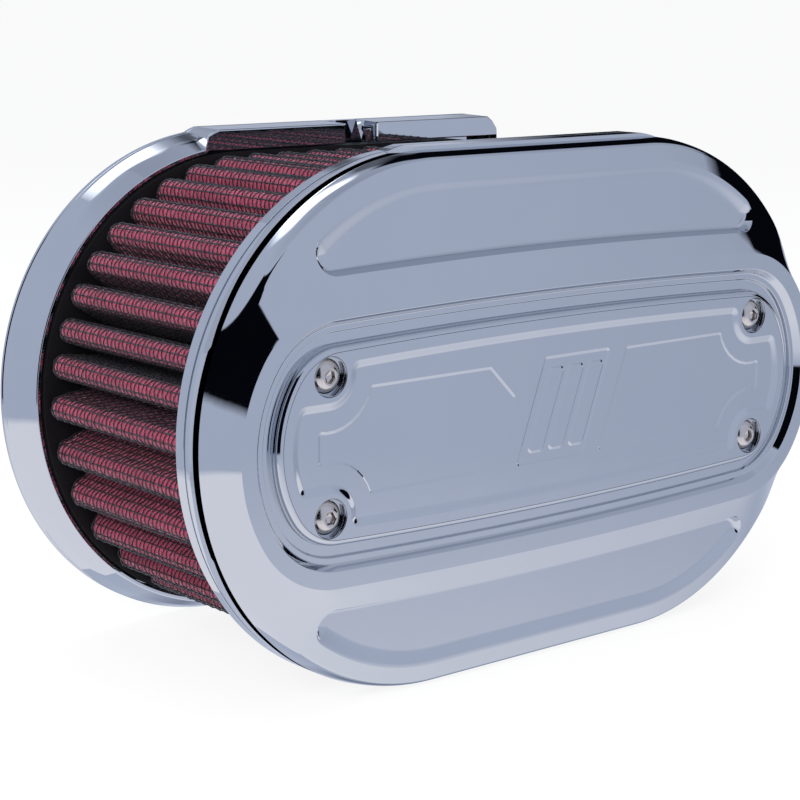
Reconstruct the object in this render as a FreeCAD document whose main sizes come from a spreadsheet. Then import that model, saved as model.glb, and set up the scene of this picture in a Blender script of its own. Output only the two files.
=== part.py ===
import FreeCAD, Part
import math
import os

import Sketcher

# Racetrack air cleaner for a motorcycle intake.
# Millimetres. The origin is the centre of the intake bore on the rear mounting face.
# +Z is up, +X is to the right seen from the front, and the front of the cleaner faces -Y.
# Every depth below is a distance forward of the mounting face, so it lies at Y = -depth.

os.makedirs("parts", exist_ok=True)
doc = FreeCAD.newDocument("AirCleaner")

# ---------------------------------------------------------------- driving dimensions

DRIVING = [
    ("body_radius", 75.2, "end radius of the racetrack outline, half its height"),
    ("straight_half", 42.0, "half length of the outline's straight run"),
    ("pad_height", 76.2, "height of the flat pads on top of cover and backplate"),
    ("pad_centre", 7.0, "sideways centre of the backplate pad"),
    ("pad_half", 59.0, "half width of the backplate pad"),
    ("pad_root", 6.0, "how far the pads reach down into the rim"),
    ("pad_bevel", 3.0, "height of the sloping ends of the pads"),
    ("pad_slope", 4.0, "length of the sloping ends of the backplate pad"),
    ("cover_pad_half", 50.0, "half width of the cover pad"),
    ("cover_pad_slope", 6.0, "length of the sloping ends of the cover pad"),
    ("notch_width", 12.5, "width of the breather notch in the backplate pad"),
    ("notch_floor", 69.0, "height of the breather notch floor"),
    ("face_depth", 112.0, "front land of the cover"),
    ("dome_depth", 106.5, "shoulder of the cover's dome"),
    ("shoulder_drop", 4.0, "how much lower the dome's shoulder is than the outline"),
    ("shoulder_reach", 1.35, "how much longer the shoulder's straight run is"),
    ("crease_depth", 100.0, "edge between the cover's side wall and its dome"),
    ("cover_back", 89.5, "rear edge of the cover"),
    ("cavity_depth", 100.5, "floor of the hollow behind the cover's face"),
    ("cover_wall", 4.0, "thickness of the cover's side wall"),
    ("groove_depth", 93.3, "rear side of the line cut round the cover's side wall"),
    ("groove_width", 0.6, "width of that line"),
    ("groove_cut", 0.5, "how deep that line is cut"),
    ("cut_margin", 5.0, "how far the line's cut starts outside the wall"),
    ("lip_length", 107.5, "half length of the recess in the cover's face"),
    ("lip_height", 35.3, "half height of the recess at its middle"),
    ("bow_radius", 2100.0, "radius of the recess's bowed long sides"),
    ("end_radius", 41.0, "radius of the recess's ends"),
    ("corner_radius", 25.0, "radius of the recess's corners"),
    ("land_width", 4.85, "flat land round the recess"),
    ("ledge_depth", 110.0, "first step of the recess"),
    ("ledge_width", 3.3, "width of the first step"),
    ("floor_depth", 108.8, "visible floor of the recess"),
    ("seat_inset", 6.6, "distance from the recess's edge to the insert's seat"),
    ("seat_depth", 107.0, "seat the insert plate rests on"),
    ("insert_gap", 0.15, "gap round the insert plate"),
    ("insert_round", 1.8, "rounding of the insert plate's front edge"),
    ("engrave_inset", 11.9, "distance from the recess's edge to the engraved pocket"),
    ("engrave_cut", 0.8, "depth of the engraved pocket"),
    ("engrave_guard", 7.2, "land left round each insert screw"),
    ("engrave_corner", 2.6, "corner radius of the engraved pocket"),
    ("step_cut", 0.3, "depth of the second engraving"),
    ("emblem_cut", 0.5, "depth of the slanted emblem panel"),
    ("screw_span", 83.5, "sideways distance of the insert screws"),
    ("screw_rise", 19.0, "height of the insert screws"),
    ("screw_head", 4.7, "head radius of the insert screws"),
    ("screw_sink", 5.25, "counterbore radius for those heads"),
    ("screw_sink_cut", 2.7, "counterbore depth"),
    ("screw_shank", 2.45, "shank radius of the insert screws"),
    ("screw_hole", 2.5, "tapped hole radius for them"),
    ("screw_tip", 102.3, "depth of the insert screws' tips"),
    ("screw_point", 0.6, "chamfer at their tips"),
    ("screw_dome", 2.6, "height of their button heads"),
    ("screw_socket", 1.73, "corner radius of their hexagon sockets"),
    ("screw_socket_cut", 1.6, "depth of those sockets"),
    ("scallop_edge", 46.4, "height of the scallops' straight edge at the middle"),
    ("scallop_rim", 6.7, "rim left outside the scallops"),
    ("scallop_corner", 5.5, "corner radius of the scallops"),
    ("scallop_depth", 105.6, "floor of the scallops"),
    ("post_span", 70.0, "sideways distance of the posts"),
    ("post_rise", 9.0, "height of the posts"),
    ("post_radius", 6.0, "radius of the posts"),
    ("post_shank", 2.95, "radius of the studs and of the cover screws"),
    ("post_hole", 3.0, "radius of the tapped holes for them"),
    ("head_radius", 5.0, "head radius of the cover screws"),
    ("head_sink", 5.6, "counterbore radius for them"),
    ("head_seat", 103.8, "depth of the cover screws' counterbore floor"),
    ("head_height", 2.2, "height of the cover screws' heads"),
    ("head_socket", 1.8, "corner radius of their hexagon sockets"),
    ("head_socket_cut", 1.5, "depth of those sockets"),
    ("stud_length", 4.8, "how far a post's stud reaches into the backplate"),
    ("tap_length", 16.0, "depth of the tapped hole in a post"),
    ("screw_reach", 14.0, "how far a cover screw reaches into its post"),
    ("washer_thick", 0.8, "thickness of the washers"),
    ("plate_wall", 6.0, "thickness of the backplate's wall"),
    ("plate_edge", 2.0, "straight band at the rear edge of the rim"),
    ("rim_depth", 13.5, "depth of the backplate's rim"),
    ("rim_taper", 4.2, "how much smaller the rim is at its front edge"),
    ("rim_inset", 5.6, "inset of the rim's inner wall"),
    ("bore_radius", 29.5, "intake bore"),
    ("spigot_radius", 32.0, "counterbore that holds the velocity ring"),
    ("ring_radius", 35.5, "outer radius of the velocity ring"),
    ("ring_depth", 15.0, "front of the velocity ring"),
    ("ring_mouth", 2.5, "size of the rounding at its mouth"),
    ("bolt_circle", 41.0, "radius of the throttle body bolt circle"),
    ("bolt_hole", 3.3, "throttle body bolt holes"),
    ("breather_span", 50.0, "sideways distance of the breather bolt holes"),
    ("breather_rise", 26.0, "height of the breather bolt holes"),
    ("breather_hole", 6.4, "radius of the breather bolt holes"),
    ("oring_radius", 9.2, "centre radius of the breather O-rings"),
    ("oring_wire", 1.2, "wire radius of the breather O-rings"),
    ("gasket_inner", 31.5, "inner radius of the bore gasket"),
    ("gasket_outer", 36.5, "outer radius of the bore gasket"),
    ("gasket_thick", 1.5, "thickness of the bore gasket"),
    ("seal_outer", 59.2, "outer end radius of the cover gasket"),
    ("seal_inner", 45.0, "inner end radius of the cover gasket"),
    ("clearance", 0.1, "gap round a loose piece"),
    ("fit", 0.05, "gap round a close-fitting piece"),
    ("hole_play", 0.3, "extra radius or depth of a clearance hole"),
    ("element_radius", 68.2, "end radius of the line through the pleat tips"),
    ("pleat_depth", 20.0, "depth of the pleats"),
    ("media_back", 14.7, "rear end of the pleated media"),
    ("media_front", 90.7, "front end of the pleated media"),
    ("cap_inner", 42.0, "end radius of the opening in the end caps"),
    ("cap_front", 99.0, "front of the element's front cap"),
    ("cap_play", 0.8, "gap between the front cap and the cover's wall"),
]

sheet = doc.addObject("Spreadsheet::Sheet", "dims")
for row, (alias, value, note) in enumerate(DRIVING, start=1):
    sheet.set("A%d" % row, note)
    sheet.set("B%d" % row, str(value))
    sheet.setAlias("B%d" % row, alias)
doc.recompute()


class Size:
    """A length that carries its number and the sheet expression it comes from."""

    def __init__(self, value, text):
        self.value = float(value)
        self.text = text

    def combine(self, other, sign, first):
        if not isinstance(other, Size):
            other = Size(other, repr(float(other)))
        left, right = (self, other) if first else (other, self)
        text = "(%s %s %s)" % (left.text, sign, right.text)
        results = {
            "+": left.value + right.value,
            "-": left.value - right.value,
            "*": left.value * right.value,
        }
        return Size(results[sign], text)

    def __add__(self, other):
        return self.combine(other, "+", True)

    def __radd__(self, other):
        return self.combine(other, "+", False)

    def __sub__(self, other):
        return self.combine(other, "-", True)

    def __rsub__(self, other):
        return self.combine(other, "-", False)

    def __mul__(self, other):
        return self.combine(other, "*", True)

    def __rmul__(self, other):
        return self.combine(other, "*", False)

    def __neg__(self):
        return self.combine(-1.0, "*", True)


class Sizes:
    """One attribute for every driving dimension."""


D = Sizes()
for alias, value, note in DRIVING:
    setattr(D, alias, Size(value, "dims." + alias))
ZERO = Size(0.0, "0")

# ---------------------------------------------------------------- sketch helpers

# Vertex numbers of a sketch element, and the numbers of a sketch's own two axes.
START, END, CENTRE = 1, 2, 3
X_AXIS, Y_AXIS = -1, -2
UP = FreeCAD.Vector(0, 0, 1)
TINY = 1e-9
SOLVER_STEPS = 60
HALF, DOUBLE = 0.5, 2.0


def new_body(label):
    body = doc.addObject("PartDesign::Body", label)
    body.Label = label
    return body


def place_body(body, across, rise):
    """Set a round sub-part on its own axis."""
    body.setExpression("Placement.Base.x", across.text)
    body.setExpression("Placement.Base.z", rise.text)


def new_sketch(body, label, depth=ZERO, role="XZ_Plane"):
    """Sketch parallel to the mounting face, the given depth forward of it."""
    sketch = body.newObject("Sketcher::SketchObject", label)
    plane = [item for item in body.Origin.OriginFeatures if item.Role == role][0]
    sketch.AttachmentSupport = (plane, [""])
    sketch.MapMode = "FlatFace"
    sketch.setExpression("AttachmentOffset.Base.z", depth.text)
    return sketch


def bind(sketch, constraint, size):
    index = sketch.addConstraint(constraint)
    sketch.setExpression("Constraints[%d]" % index, size.text)


def bind_radius(sketch, geometry, size):
    bind(sketch, Sketcher.Constraint("Radius", geometry, size.value), size)


def bind_point(sketch, geometry, vertex, across, up):
    """Fix one point's two coordinates, on the axis where a coordinate is nought."""
    for size, kind, axis in ((across, "DistanceX", Y_AXIS), (up, "DistanceY", X_AXIS)):
        if abs(size.value) < TINY:
            sketch.addConstraint(Sketcher.Constraint("PointOnObject", geometry, vertex, axis))
        elif size.value > 0:
            bind(sketch, Sketcher.Constraint(kind, -1, 1, geometry, vertex, size.value), size)
        else:
            bind(sketch, Sketcher.Constraint(kind, geometry, vertex, -1, 1, -size.value), -size)


def vector(across, up):
    return FreeCAD.Vector(across, up, 0)


def near_nought(value):
    """The value, or nought where it is only a rounding error."""
    return 0.0 if abs(value) < TINY else value


def arc(centre, radius, start, end):
    """Arc of a circle, angles in radians, drawn anticlockwise."""
    circle = Part.Circle(vector(*centre), UP, radius)
    return Part.ArcOfCircle(circle, start, end)


def add_circle(sketch, across, up, radius):
    geometry = sketch.addGeometry(Part.Circle(vector(across.value, up.value), UP, radius.value))
    bind_radius(sketch, geometry, radius)
    bind_point(sketch, geometry, CENTRE, across, up)
    return geometry


def add_polygon(sketch, points):
    """Closed outline of straight lines through fixed points."""
    count = len(points)
    corners = [vector(across.value, up.value) for across, up in points]
    first = None
    for index in range(count):
        line = Part.LineSegment(corners[index], corners[(index + 1) % count])
        geometry = sketch.addGeometry(line)
        first = geometry if first is None else first
    for index in range(count):
        here = first + index
        after = first + (index + 1) % count
        sketch.addConstraint(Sketcher.Constraint("Coincident", here, END, after, START))
        bind_point(sketch, here, START, points[index][0], points[index][1])


def join_tangent(sketch, chain):
    """Join a closed chain of (geometry, first vertex, last vertex) with tangent joints."""
    for index, (geometry, first, last) in enumerate(chain):
        after, after_first, after_last = chain[(index + 1) % len(chain)]
        sketch.addConstraint(
            Sketcher.Constraint("Tangent", geometry, last, after, after_first))


def add_stadium(sketch, radius):
    """Racetrack outline with half-round ends about the two fixed end centres."""
    half = D.straight_half.value
    size = radius.value
    right = sketch.addGeometry(arc((half, 0), size, -math.pi / 2, math.pi / 2))
    top = sketch.addGeometry(Part.LineSegment(vector(half, size), vector(-half, size)))
    left = sketch.addGeometry(arc((-half, 0), size, math.pi / 2, 3 * math.pi / 2))
    low = sketch.addGeometry(Part.LineSegment(vector(-half, -size), vector(half, -size)))
    chain = [(right, START, END), (top, START, END), (left, START, END), (low, START, END)]
    join_tangent(sketch, chain)
    bind_radius(sketch, right, radius)
    bind_point(sketch, right, CENTRE, D.straight_half, ZERO)
    bind_point(sketch, left, CENTRE, -D.straight_half, ZERO)
    sketch.addConstraint(Sketcher.Constraint("Horizontal", top))


def add_split_stadium(sketch, radius, run_half):
    """The same outline with each end cut into three arcs, to match the bowed outline."""
    half = run_half.value
    size = radius.value
    split = radius * HALF
    turn = math.asin(split.value / size)
    right = arc((half, 0), size, -turn, turn)
    right_up = arc((half, 0), size, turn, math.pi / 2)
    top = Part.LineSegment(vector(half, size), vector(-half, size))
    left_up = arc((-half, 0), size, math.pi / 2, math.pi - turn)
    left = arc((-half, 0), size, math.pi - turn, math.pi + turn)
    left_low = arc((-half, 0), size, math.pi + turn, 3 * math.pi / 2)
    low = Part.LineSegment(vector(-half, -size), vector(half, -size))
    right_low = arc((half, 0), size, -math.pi / 2, -turn)
    drawn = [right, right_up, top, left_up, left, left_low, low, right_low]
    ids = [sketch.addGeometry(item) for item in drawn]
    for index in range(8):
        after = ids[(index + 1) % 8]
        smooth = index in (1, 2, 5, 6)
        kind = "Tangent" if smooth else "Coincident"
        sketch.addConstraint(Sketcher.Constraint(kind, ids[index], END, after, START))
    bind_radius(sketch, ids[0], radius)
    bind_point(sketch, ids[0], CENTRE, run_half, ZERO)
    bind_point(sketch, ids[4], CENTRE, -run_half, ZERO)
    for corner, end in ((1, 0), (7, 0), (3, 4), (5, 4)):
        sketch.addConstraint(
            Sketcher.Constraint("Coincident", ids[corner], CENTRE, ids[end], CENTRE))
    for geometry, vertex in ((ids[0], END), (ids[4], START)):
        level = Sketcher.Constraint("DistanceY", -1, 1, geometry, vertex, split.value)
        bind(sketch, level, split)
    for geometry, vertex in ((ids[0], START), (ids[4], END)):
        level = Sketcher.Constraint("DistanceY", geometry, vertex, -1, 1, split.value)
        bind(sketch, level, split)


def bowed_centres():
    """Centres and joint angles of the bowed outline, the same for every offset of it."""
    end_x = D.lip_length.value - D.end_radius.value
    bow_y = D.bow_radius.value - D.lip_height.value
    far = D.bow_radius.value - D.corner_radius.value
    near = D.end_radius.value - D.corner_radius.value
    corner = (end_x + near, 0.0)
    for step in range(SOLVER_STEPS):
        up = math.sqrt(far ** 2 - corner[0] ** 2) - bow_y
        corner = (end_x + math.sqrt(near ** 2 - up ** 2), up)
    end_turn = math.atan2(corner[1], corner[0] - end_x)
    bow_turn = math.atan2(corner[1] + bow_y, corner[0])
    return end_x, bow_y, corner, end_turn, bow_turn


def add_bowed(sketch, offset):
    """Recess outline, or a parallel of it: bowed sides, round ends and rounder corners."""
    end_x, bow_y, corner, end_turn, bow_turn = bowed_centres()
    end_r = D.end_radius + offset
    bow_r = D.bow_radius + offset
    corner_r = D.corner_radius + offset
    pi = math.pi
    cx, cy = corner
    drawn = [
        arc((end_x, 0), end_r.value, -end_turn, end_turn),
        arc((cx, cy), corner_r.value, end_turn, bow_turn),
        arc((0, -bow_y), bow_r.value, bow_turn, pi - bow_turn),
        arc((-cx, cy), corner_r.value, pi - bow_turn, pi - end_turn),
        arc((-end_x, 0), end_r.value, pi - end_turn, pi + end_turn),
        arc((-cx, -cy), corner_r.value, pi + end_turn, pi + bow_turn),
        arc((0, bow_y), bow_r.value, pi + bow_turn, 2 * pi - bow_turn),
        arc((cx, -cy), corner_r.value, 2 * pi - bow_turn, 2 * pi - end_turn),
    ]
    ids = [sketch.addGeometry(item) for item in drawn]
    join_tangent(sketch, [(item, START, END) for item in ids])
    for item in (ids[0], ids[4]):
        bind_radius(sketch, item, end_r)
    for item in (ids[2], ids[6]):
        bind_radius(sketch, item, bow_r)
    for item in (ids[1], ids[3], ids[5], ids[7]):
        bind_radius(sketch, item, corner_r)
    end_at = D.lip_length - D.end_radius
    bow_at = D.bow_radius - D.lip_height
    bind_point(sketch, ids[0], CENTRE, end_at, ZERO)
    bind_point(sketch, ids[4], CENTRE, -end_at, ZERO)
    bind_point(sketch, ids[2], CENTRE, ZERO, -bow_at)
    bind_point(sketch, ids[6], CENTRE, ZERO, bow_at)


# ---------------------------------------------------------------- feature helpers


def pad(body, sketch, length, backwards=False):
    """Add material from the sketch, forward or back towards the mounting face."""
    feature = body.newObject("PartDesign::Pad", sketch.Label + "_pad")
    feature.Profile = sketch
    feature.setExpression("Length", length.text)
    feature.Reversed = backwards
    sketch.Visibility = False
    doc.recompute()
    return feature


def pocket(body, sketch, length, forwards=False):
    """Cut from the sketch, back towards the mounting face or forward away from it."""
    feature = body.newObject("PartDesign::Pocket", sketch.Label + "_cut")
    feature.Profile = sketch
    feature.setExpression("Length", length.text)
    feature.Reversed = forwards
    sketch.Visibility = False
    doc.recompute()
    return feature


def revolve(body, sketch):
    """Turn a half profile about the sub-part's own front-to-back axis."""
    feature = body.newObject("PartDesign::Revolution", sketch.Label + "_turned")
    feature.Profile = sketch
    feature.ReferenceAxis = (sketch, ["V_Axis"])
    feature.Angle = 360.0
    sketch.Visibility = False
    doc.recompute()
    return feature


def faces_at(feature, depth, tolerance=0.01):
    """Names of the flat faces lying wholly at one depth."""
    names = []
    for index, face in enumerate(feature.Shape.Faces, start=1):
        box = face.BoundBox
        flat = abs(box.YMax - box.YMin) < tolerance
        if flat and abs(box.YMin + depth) < tolerance:
            names.append("Face%d" % index)
    return names


def round_edges(body, base, names, radius):
    """Fillet every edge of the named faces."""
    feature = body.newObject("PartDesign::Fillet", base.Label + "_rounded")
    feature.Base = (base, names)
    feature.setExpression("Radius", radius.text)
    doc.recompute()
    return feature


def ring_body(label, depth, outer, inner, length):
    """Flat racetrack ring, lying forward of the given depth."""
    body = new_body(label)
    sketch = new_sketch(body, label + "_outline", depth)
    add_stadium(sketch, outer)
    add_stadium(sketch, inner)
    pad(body, sketch, length)
    return body


def turned_body(label, across, rise, points):
    """Round sub-part from a half profile of (radius, depth) points."""
    body = new_body(label)
    sketch = new_sketch(body, label + "_profile", ZERO, "XY_Plane")
    add_polygon(sketch, [(radius, -depth) for radius, depth in points])
    revolve(body, sketch)
    place_body(body, across, rise)
    return body


# ---------------------------------------------------------------- backplate

# Side and level of the four posts, of the four cover screws and of the four insert screws.
CORNERS = [(-1.0, 1.0), (1.0, 1.0), (-1.0, -1.0), (1.0, -1.0)]
BOLT_TURNS = (90.0, 210.0, 330.0)
RIM_CROWN = 0.3  # share of the rim's taper reached half way along it

def make_backplate():
    """Dished plate that bolts to the throttle body and carries everything else."""
    body = new_body("backplate")
    edge = new_sketch(body, "plate_edge_outline", D.plate_edge)
    add_stadium(edge, D.body_radius)
    pad(body, edge, D.plate_edge, True)
    front = new_sketch(body, "rim_front", D.rim_depth)
    add_stadium(front, D.body_radius - D.rim_taper)
    middle = new_sketch(body, "rim_middle", D.rim_depth * HALF)
    add_stadium(middle, D.body_radius - D.rim_taper * RIM_CROWN)
    loft = body.newObject("PartDesign::AdditiveLoft", "rim_taper_loft")
    loft.Profile = edge
    loft.Sections = [middle, front]
    loft.Ruled = True
    doc.recompute()
    top = new_sketch(body, "top_pad", D.rim_depth)
    add_polygon(top, [
        (D.pad_centre - D.pad_half, D.pad_height - D.pad_root),
        (D.pad_centre + D.pad_half, D.pad_height - D.pad_root),
        (D.pad_centre + D.pad_half, D.pad_height - D.pad_bevel),
        (D.pad_centre + D.pad_half - D.pad_slope, D.pad_height),
        (D.pad_centre - D.pad_half + D.pad_slope, D.pad_height),
        (D.pad_centre - D.pad_half, D.pad_height - D.pad_bevel),
    ])
    pad(body, top, D.rim_depth, True)
    dish = new_sketch(body, "dish", D.rim_depth)
    add_stadium(dish, D.body_radius - D.rim_inset)
    pocket(body, dish, D.rim_depth - D.plate_wall)
    notch = new_sketch(body, "breather_notch", D.rim_depth)
    add_polygon(notch, [
        (D.pad_centre - D.notch_width * HALF, D.notch_floor),
        (D.pad_centre + D.notch_width * HALF, D.notch_floor),
        (D.pad_centre + D.notch_width * HALF, D.pad_height + D.cut_margin),
        (D.pad_centre - D.notch_width * HALF, D.pad_height + D.cut_margin),
    ])
    pocket(body, notch, D.rim_depth - D.plate_wall * HALF)
    bore = new_sketch(body, "intake_bore", D.plate_wall)
    add_circle(bore, ZERO, ZERO, D.bore_radius)
    pocket(body, bore, D.plate_wall)
    spigot = new_sketch(body, "ring_seat", D.plate_wall)
    add_circle(spigot, ZERO, ZERO, D.spigot_radius)
    pocket(body, spigot, D.plate_wall * HALF)
    bolts = new_sketch(body, "throttle_bolts", D.plate_wall)
    for turn in BOLT_TURNS:
        across = D.bolt_circle * near_nought(math.cos(math.radians(turn)))
        up = D.bolt_circle * near_nought(math.sin(math.radians(turn)))
        add_circle(bolts, across, up, D.bolt_hole)
    pocket(body, bolts, D.plate_wall)
    breathers = new_sketch(body, "breather_holes", D.plate_wall)
    for side in (-1.0, 1.0):
        add_circle(breathers, D.breather_span * side, D.breather_rise, D.breather_hole)
    pocket(body, breathers, D.plate_wall)
    posts = new_sketch(body, "post_holes", D.plate_wall)
    for side, level in CORNERS:
        add_circle(posts, D.post_span * side, D.post_rise * level, D.post_hole)
    pocket(body, posts, D.stud_length + D.hole_play)
    gasket = new_sketch(body, "gasket_seat", ZERO)
    add_circle(gasket, ZERO, ZERO, D.gasket_outer + D.clearance)
    add_circle(gasket, ZERO, ZERO, D.gasket_inner - D.clearance)
    pocket(body, gasket, D.gasket_thick, True)
    grooves = new_sketch(body, "oring_grooves", ZERO)
    outer = D.oring_radius + D.oring_wire + D.clearance
    inner = D.oring_radius - D.oring_wire - D.clearance
    for side in (-1.0, 1.0):
        add_circle(grooves, D.breather_span * side, D.breather_rise, outer)
        add_circle(grooves, D.breather_span * side, D.breather_rise, inner)
    pocket(body, grooves, D.oring_wire * DOUBLE + D.clearance, True)
    return body


def make_base_details():
    """Seals, velocity ring and the four posts that carry the cover."""
    turned_body("rear_gasket", ZERO, ZERO, [
        (D.gasket_inner, D.fit),
        (D.gasket_outer, D.fit),
        (D.gasket_outer, D.gasket_thick - D.fit),
        (D.gasket_inner, D.gasket_thick - D.fit),
    ])
    for name, side in (("left", -1.0), ("right", 1.0)):
        body = new_body("breather_seal_" + name)
        sketch = new_sketch(body, "seal_%s_wire" % name, ZERO, "XY_Plane")
        add_circle(sketch, D.oring_radius, -(D.oring_wire + D.fit), D.oring_wire)
        revolve(body, sketch)
        place_body(body, D.breather_span * side, D.breather_rise)
    half_wall = D.plate_wall * HALF
    turned_body("velocity_ring", ZERO, ZERO, [
        (D.bore_radius, half_wall + D.fit),
        (D.spigot_radius - D.fit, half_wall + D.fit),
        (D.spigot_radius - D.fit, D.plate_wall),
        (D.ring_radius, D.plate_wall),
        (D.ring_radius, D.ring_depth - D.ring_mouth),
        (D.ring_radius - D.ring_mouth, D.ring_depth),
        (D.bore_radius + D.ring_mouth * 1.2, D.ring_depth),
        (D.bore_radius + D.ring_mouth * 0.4, D.ring_depth - D.ring_mouth),
        (D.bore_radius, D.ring_depth - D.ring_mouth * 2.4),
    ])
    for index, (side, level) in enumerate(CORNERS, start=1):
        turned_body("post_%d" % index, D.post_span * side, D.post_rise * level, [
            (ZERO, D.plate_wall - D.stud_length),
            (D.post_shank, D.plate_wall - D.stud_length),
            (D.post_shank, D.plate_wall),
            (D.post_radius, D.plate_wall),
            (D.post_radius, D.cavity_depth),
            (D.post_hole, D.cavity_depth),
            (D.post_hole, D.cavity_depth - D.tap_length),
            (ZERO, D.cavity_depth - D.tap_length),
        ])


# ---------------------------------------------------------------- filter element

UPPER_PLEATS = 27
LOWER_PLEATS = 21
UPPER_PITCH = 11.1
SEAM_RUN = 185.3  # where the tightly folded half ends, along the line of pleat tips
TIP_HALF = 3.0
VALLEY_HALF = 1.2
SHEET = 1.2
MESH_GAP = 0.3
MESH_SHEET = 0.4


def stadium_point(run, inset):
    """Point a distance along the line of pleat tips, set in by the given depth."""
    half = D.straight_half.value
    radius = D.element_radius.value
    straight = 2 * half
    bend = math.pi * radius
    run = run % (2 * straight + 2 * bend)
    size = radius - inset
    if run < straight:
        return (half - run, size)
    if run < straight + bend:
        turn = math.pi / 2 + (run - straight) / radius
        return (-half + size * math.cos(turn), size * math.sin(turn))
    if run < 2 * straight + bend:
        return (-half + (run - straight - bend), -size)
    turn = -math.pi / 2 + (run - 2 * straight - bend) / radius
    return (half + size * math.cos(turn), size * math.sin(turn))


def pleat_middles():
    """Middle and pitch of every fold: the upper half is folded tighter than the lower."""
    length = 4 * D.straight_half.value + 2 * math.pi * D.element_radius.value
    upper = UPPER_PLEATS * UPPER_PITCH
    lower_pitch = (length - upper) / LOWER_PLEATS
    folds = []
    for index in range(UPPER_PLEATS):
        folds.append((SEAM_RUN - upper + (index + 0.5) * UPPER_PITCH, UPPER_PITCH))
    for index in range(LOWER_PLEATS):
        folds.append((SEAM_RUN + (index + 0.5) * lower_pitch, lower_pitch))
    return folds


def pleat_wire(grow, depth):
    """Closed zigzag line: grow moves it outward from the media's outer skin."""
    corners = []
    for middle, pitch in pleat_middles():
        tip = TIP_HALF + grow
        valley = VALLEY_HALF - grow
        low = D.pleat_depth.value - grow
        corners.append(stadium_point(middle - pitch / 2 + valley, low))
        corners.append(stadium_point(middle - tip, -grow))
        corners.append(stadium_point(middle + tip, -grow))
        corners.append(stadium_point(middle + pitch / 2 - valley, low))
    points = [FreeCAD.Vector(across, -depth, up) for across, up in corners]
    points.append(points[0])
    return Part.makePolygon(points)


def make_pleated(label, outer, inner):
    """Pleated sheet between two zigzag lines, a fold no pad or pattern can follow."""
    back = D.media_back.value
    front = D.media_front.value
    forward = FreeCAD.Vector(0, back - front, 0)
    outer_face = Part.Face(pleat_wire(outer, back))
    inner_face = Part.Face(pleat_wire(inner, back))
    sheet_solid = outer_face.extrude(forward).cut(inner_face.extrude(forward))
    feature = doc.addObject("Part::Feature", label)
    feature.Label = label
    feature.Shape = sheet_solid
    return feature


def make_element():
    """Pleated gauze between two wire screens, moulded into two soft end caps."""
    plate = D.plate_wall
    rear_outer = D.body_radius - D.rim_inset - D.cap_play * HALF
    front_outer = D.body_radius - D.cover_wall - D.cap_play
    ring_body("rear_end_cap", plate + D.clearance, rear_outer,
              D.cap_inner, D.media_back - plate - D.clearance * DOUBLE)
    ring_body("front_end_cap", D.media_front + D.clearance, front_outer,
              D.cap_inner, D.cap_front - D.media_front - D.clearance)
    make_pleated("filter_media", 0.0, -SHEET)
    make_pleated("outer_mesh", MESH_GAP + MESH_SHEET, MESH_GAP)
    make_pleated("inner_mesh", -SHEET - MESH_GAP, -SHEET - MESH_GAP - MESH_SHEET)


# ---------------------------------------------------------------- front cover


def add_scallop(sketch, level):
    """Crescent outline: bowed inner edge, outer edge parallel to the cover's outline."""
    pi = math.pi
    half = D.straight_half.value
    outer = D.body_radius - D.scallop_rim
    bow = D.bow_radius
    bow_at = D.bow_radius - D.scallop_edge
    corner = D.scallop_corner
    spot = (half + outer.value * HALF, D.scallop_edge.value)
    for step in range(SOLVER_STEPS):
        up = math.sqrt((bow.value + corner.value) ** 2 - spot[0] ** 2) - bow_at.value
        reach = (outer.value - corner.value) ** 2 - up ** 2
        spot = (half + math.sqrt(reach), up)
    bow_turn = math.atan2(spot[1] + bow_at.value, spot[0])
    rim_turn = math.atan2(spot[1], spot[0] - half)

    def turned(centre, radius, start, end):
        if level > 0:
            return arc(centre, radius, start, end)
        return arc((centre[0], -centre[1]), radius, 2 * pi - end, 2 * pi - start)

    cx, cy = spot
    drawn = [
        turned((half, 0), outer.value, rim_turn, pi / 2),
        Part.LineSegment(vector(half, level * outer.value), vector(-half, level * outer.value)),
        turned((-half, 0), outer.value, pi / 2, pi - rim_turn),
        turned((-cx, cy), corner.value, pi - rim_turn, 2 * pi - bow_turn),
        turned((0, -bow_at.value), bow.value, bow_turn, pi - bow_turn),
        turned((cx, cy), corner.value, pi + bow_turn, 2 * pi + rim_turn),
    ]
    ids = [sketch.addGeometry(item) for item in drawn]
    ends = (START, END) if level > 0 else (END, START)
    chain = []
    for order, item in enumerate(ids):
        along = (START, END) if order == 1 else ends
        along = (ends[1], ends[0]) if order == 4 else along
        chain.append((item, along[0], along[1]))
    join_tangent(sketch, chain)
    bind_radius(sketch, ids[0], outer)
    bind_radius(sketch, ids[2], outer)
    bind_radius(sketch, ids[3], corner)
    bind_radius(sketch, ids[4], bow)
    bind_radius(sketch, ids[5], corner)
    bind_point(sketch, ids[0], CENTRE, D.straight_half, ZERO)
    bind_point(sketch, ids[2], CENTRE, -D.straight_half, ZERO)
    bind_point(sketch, ids[4], CENTRE, ZERO, -bow_at if level > 0 else bow_at)


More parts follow.
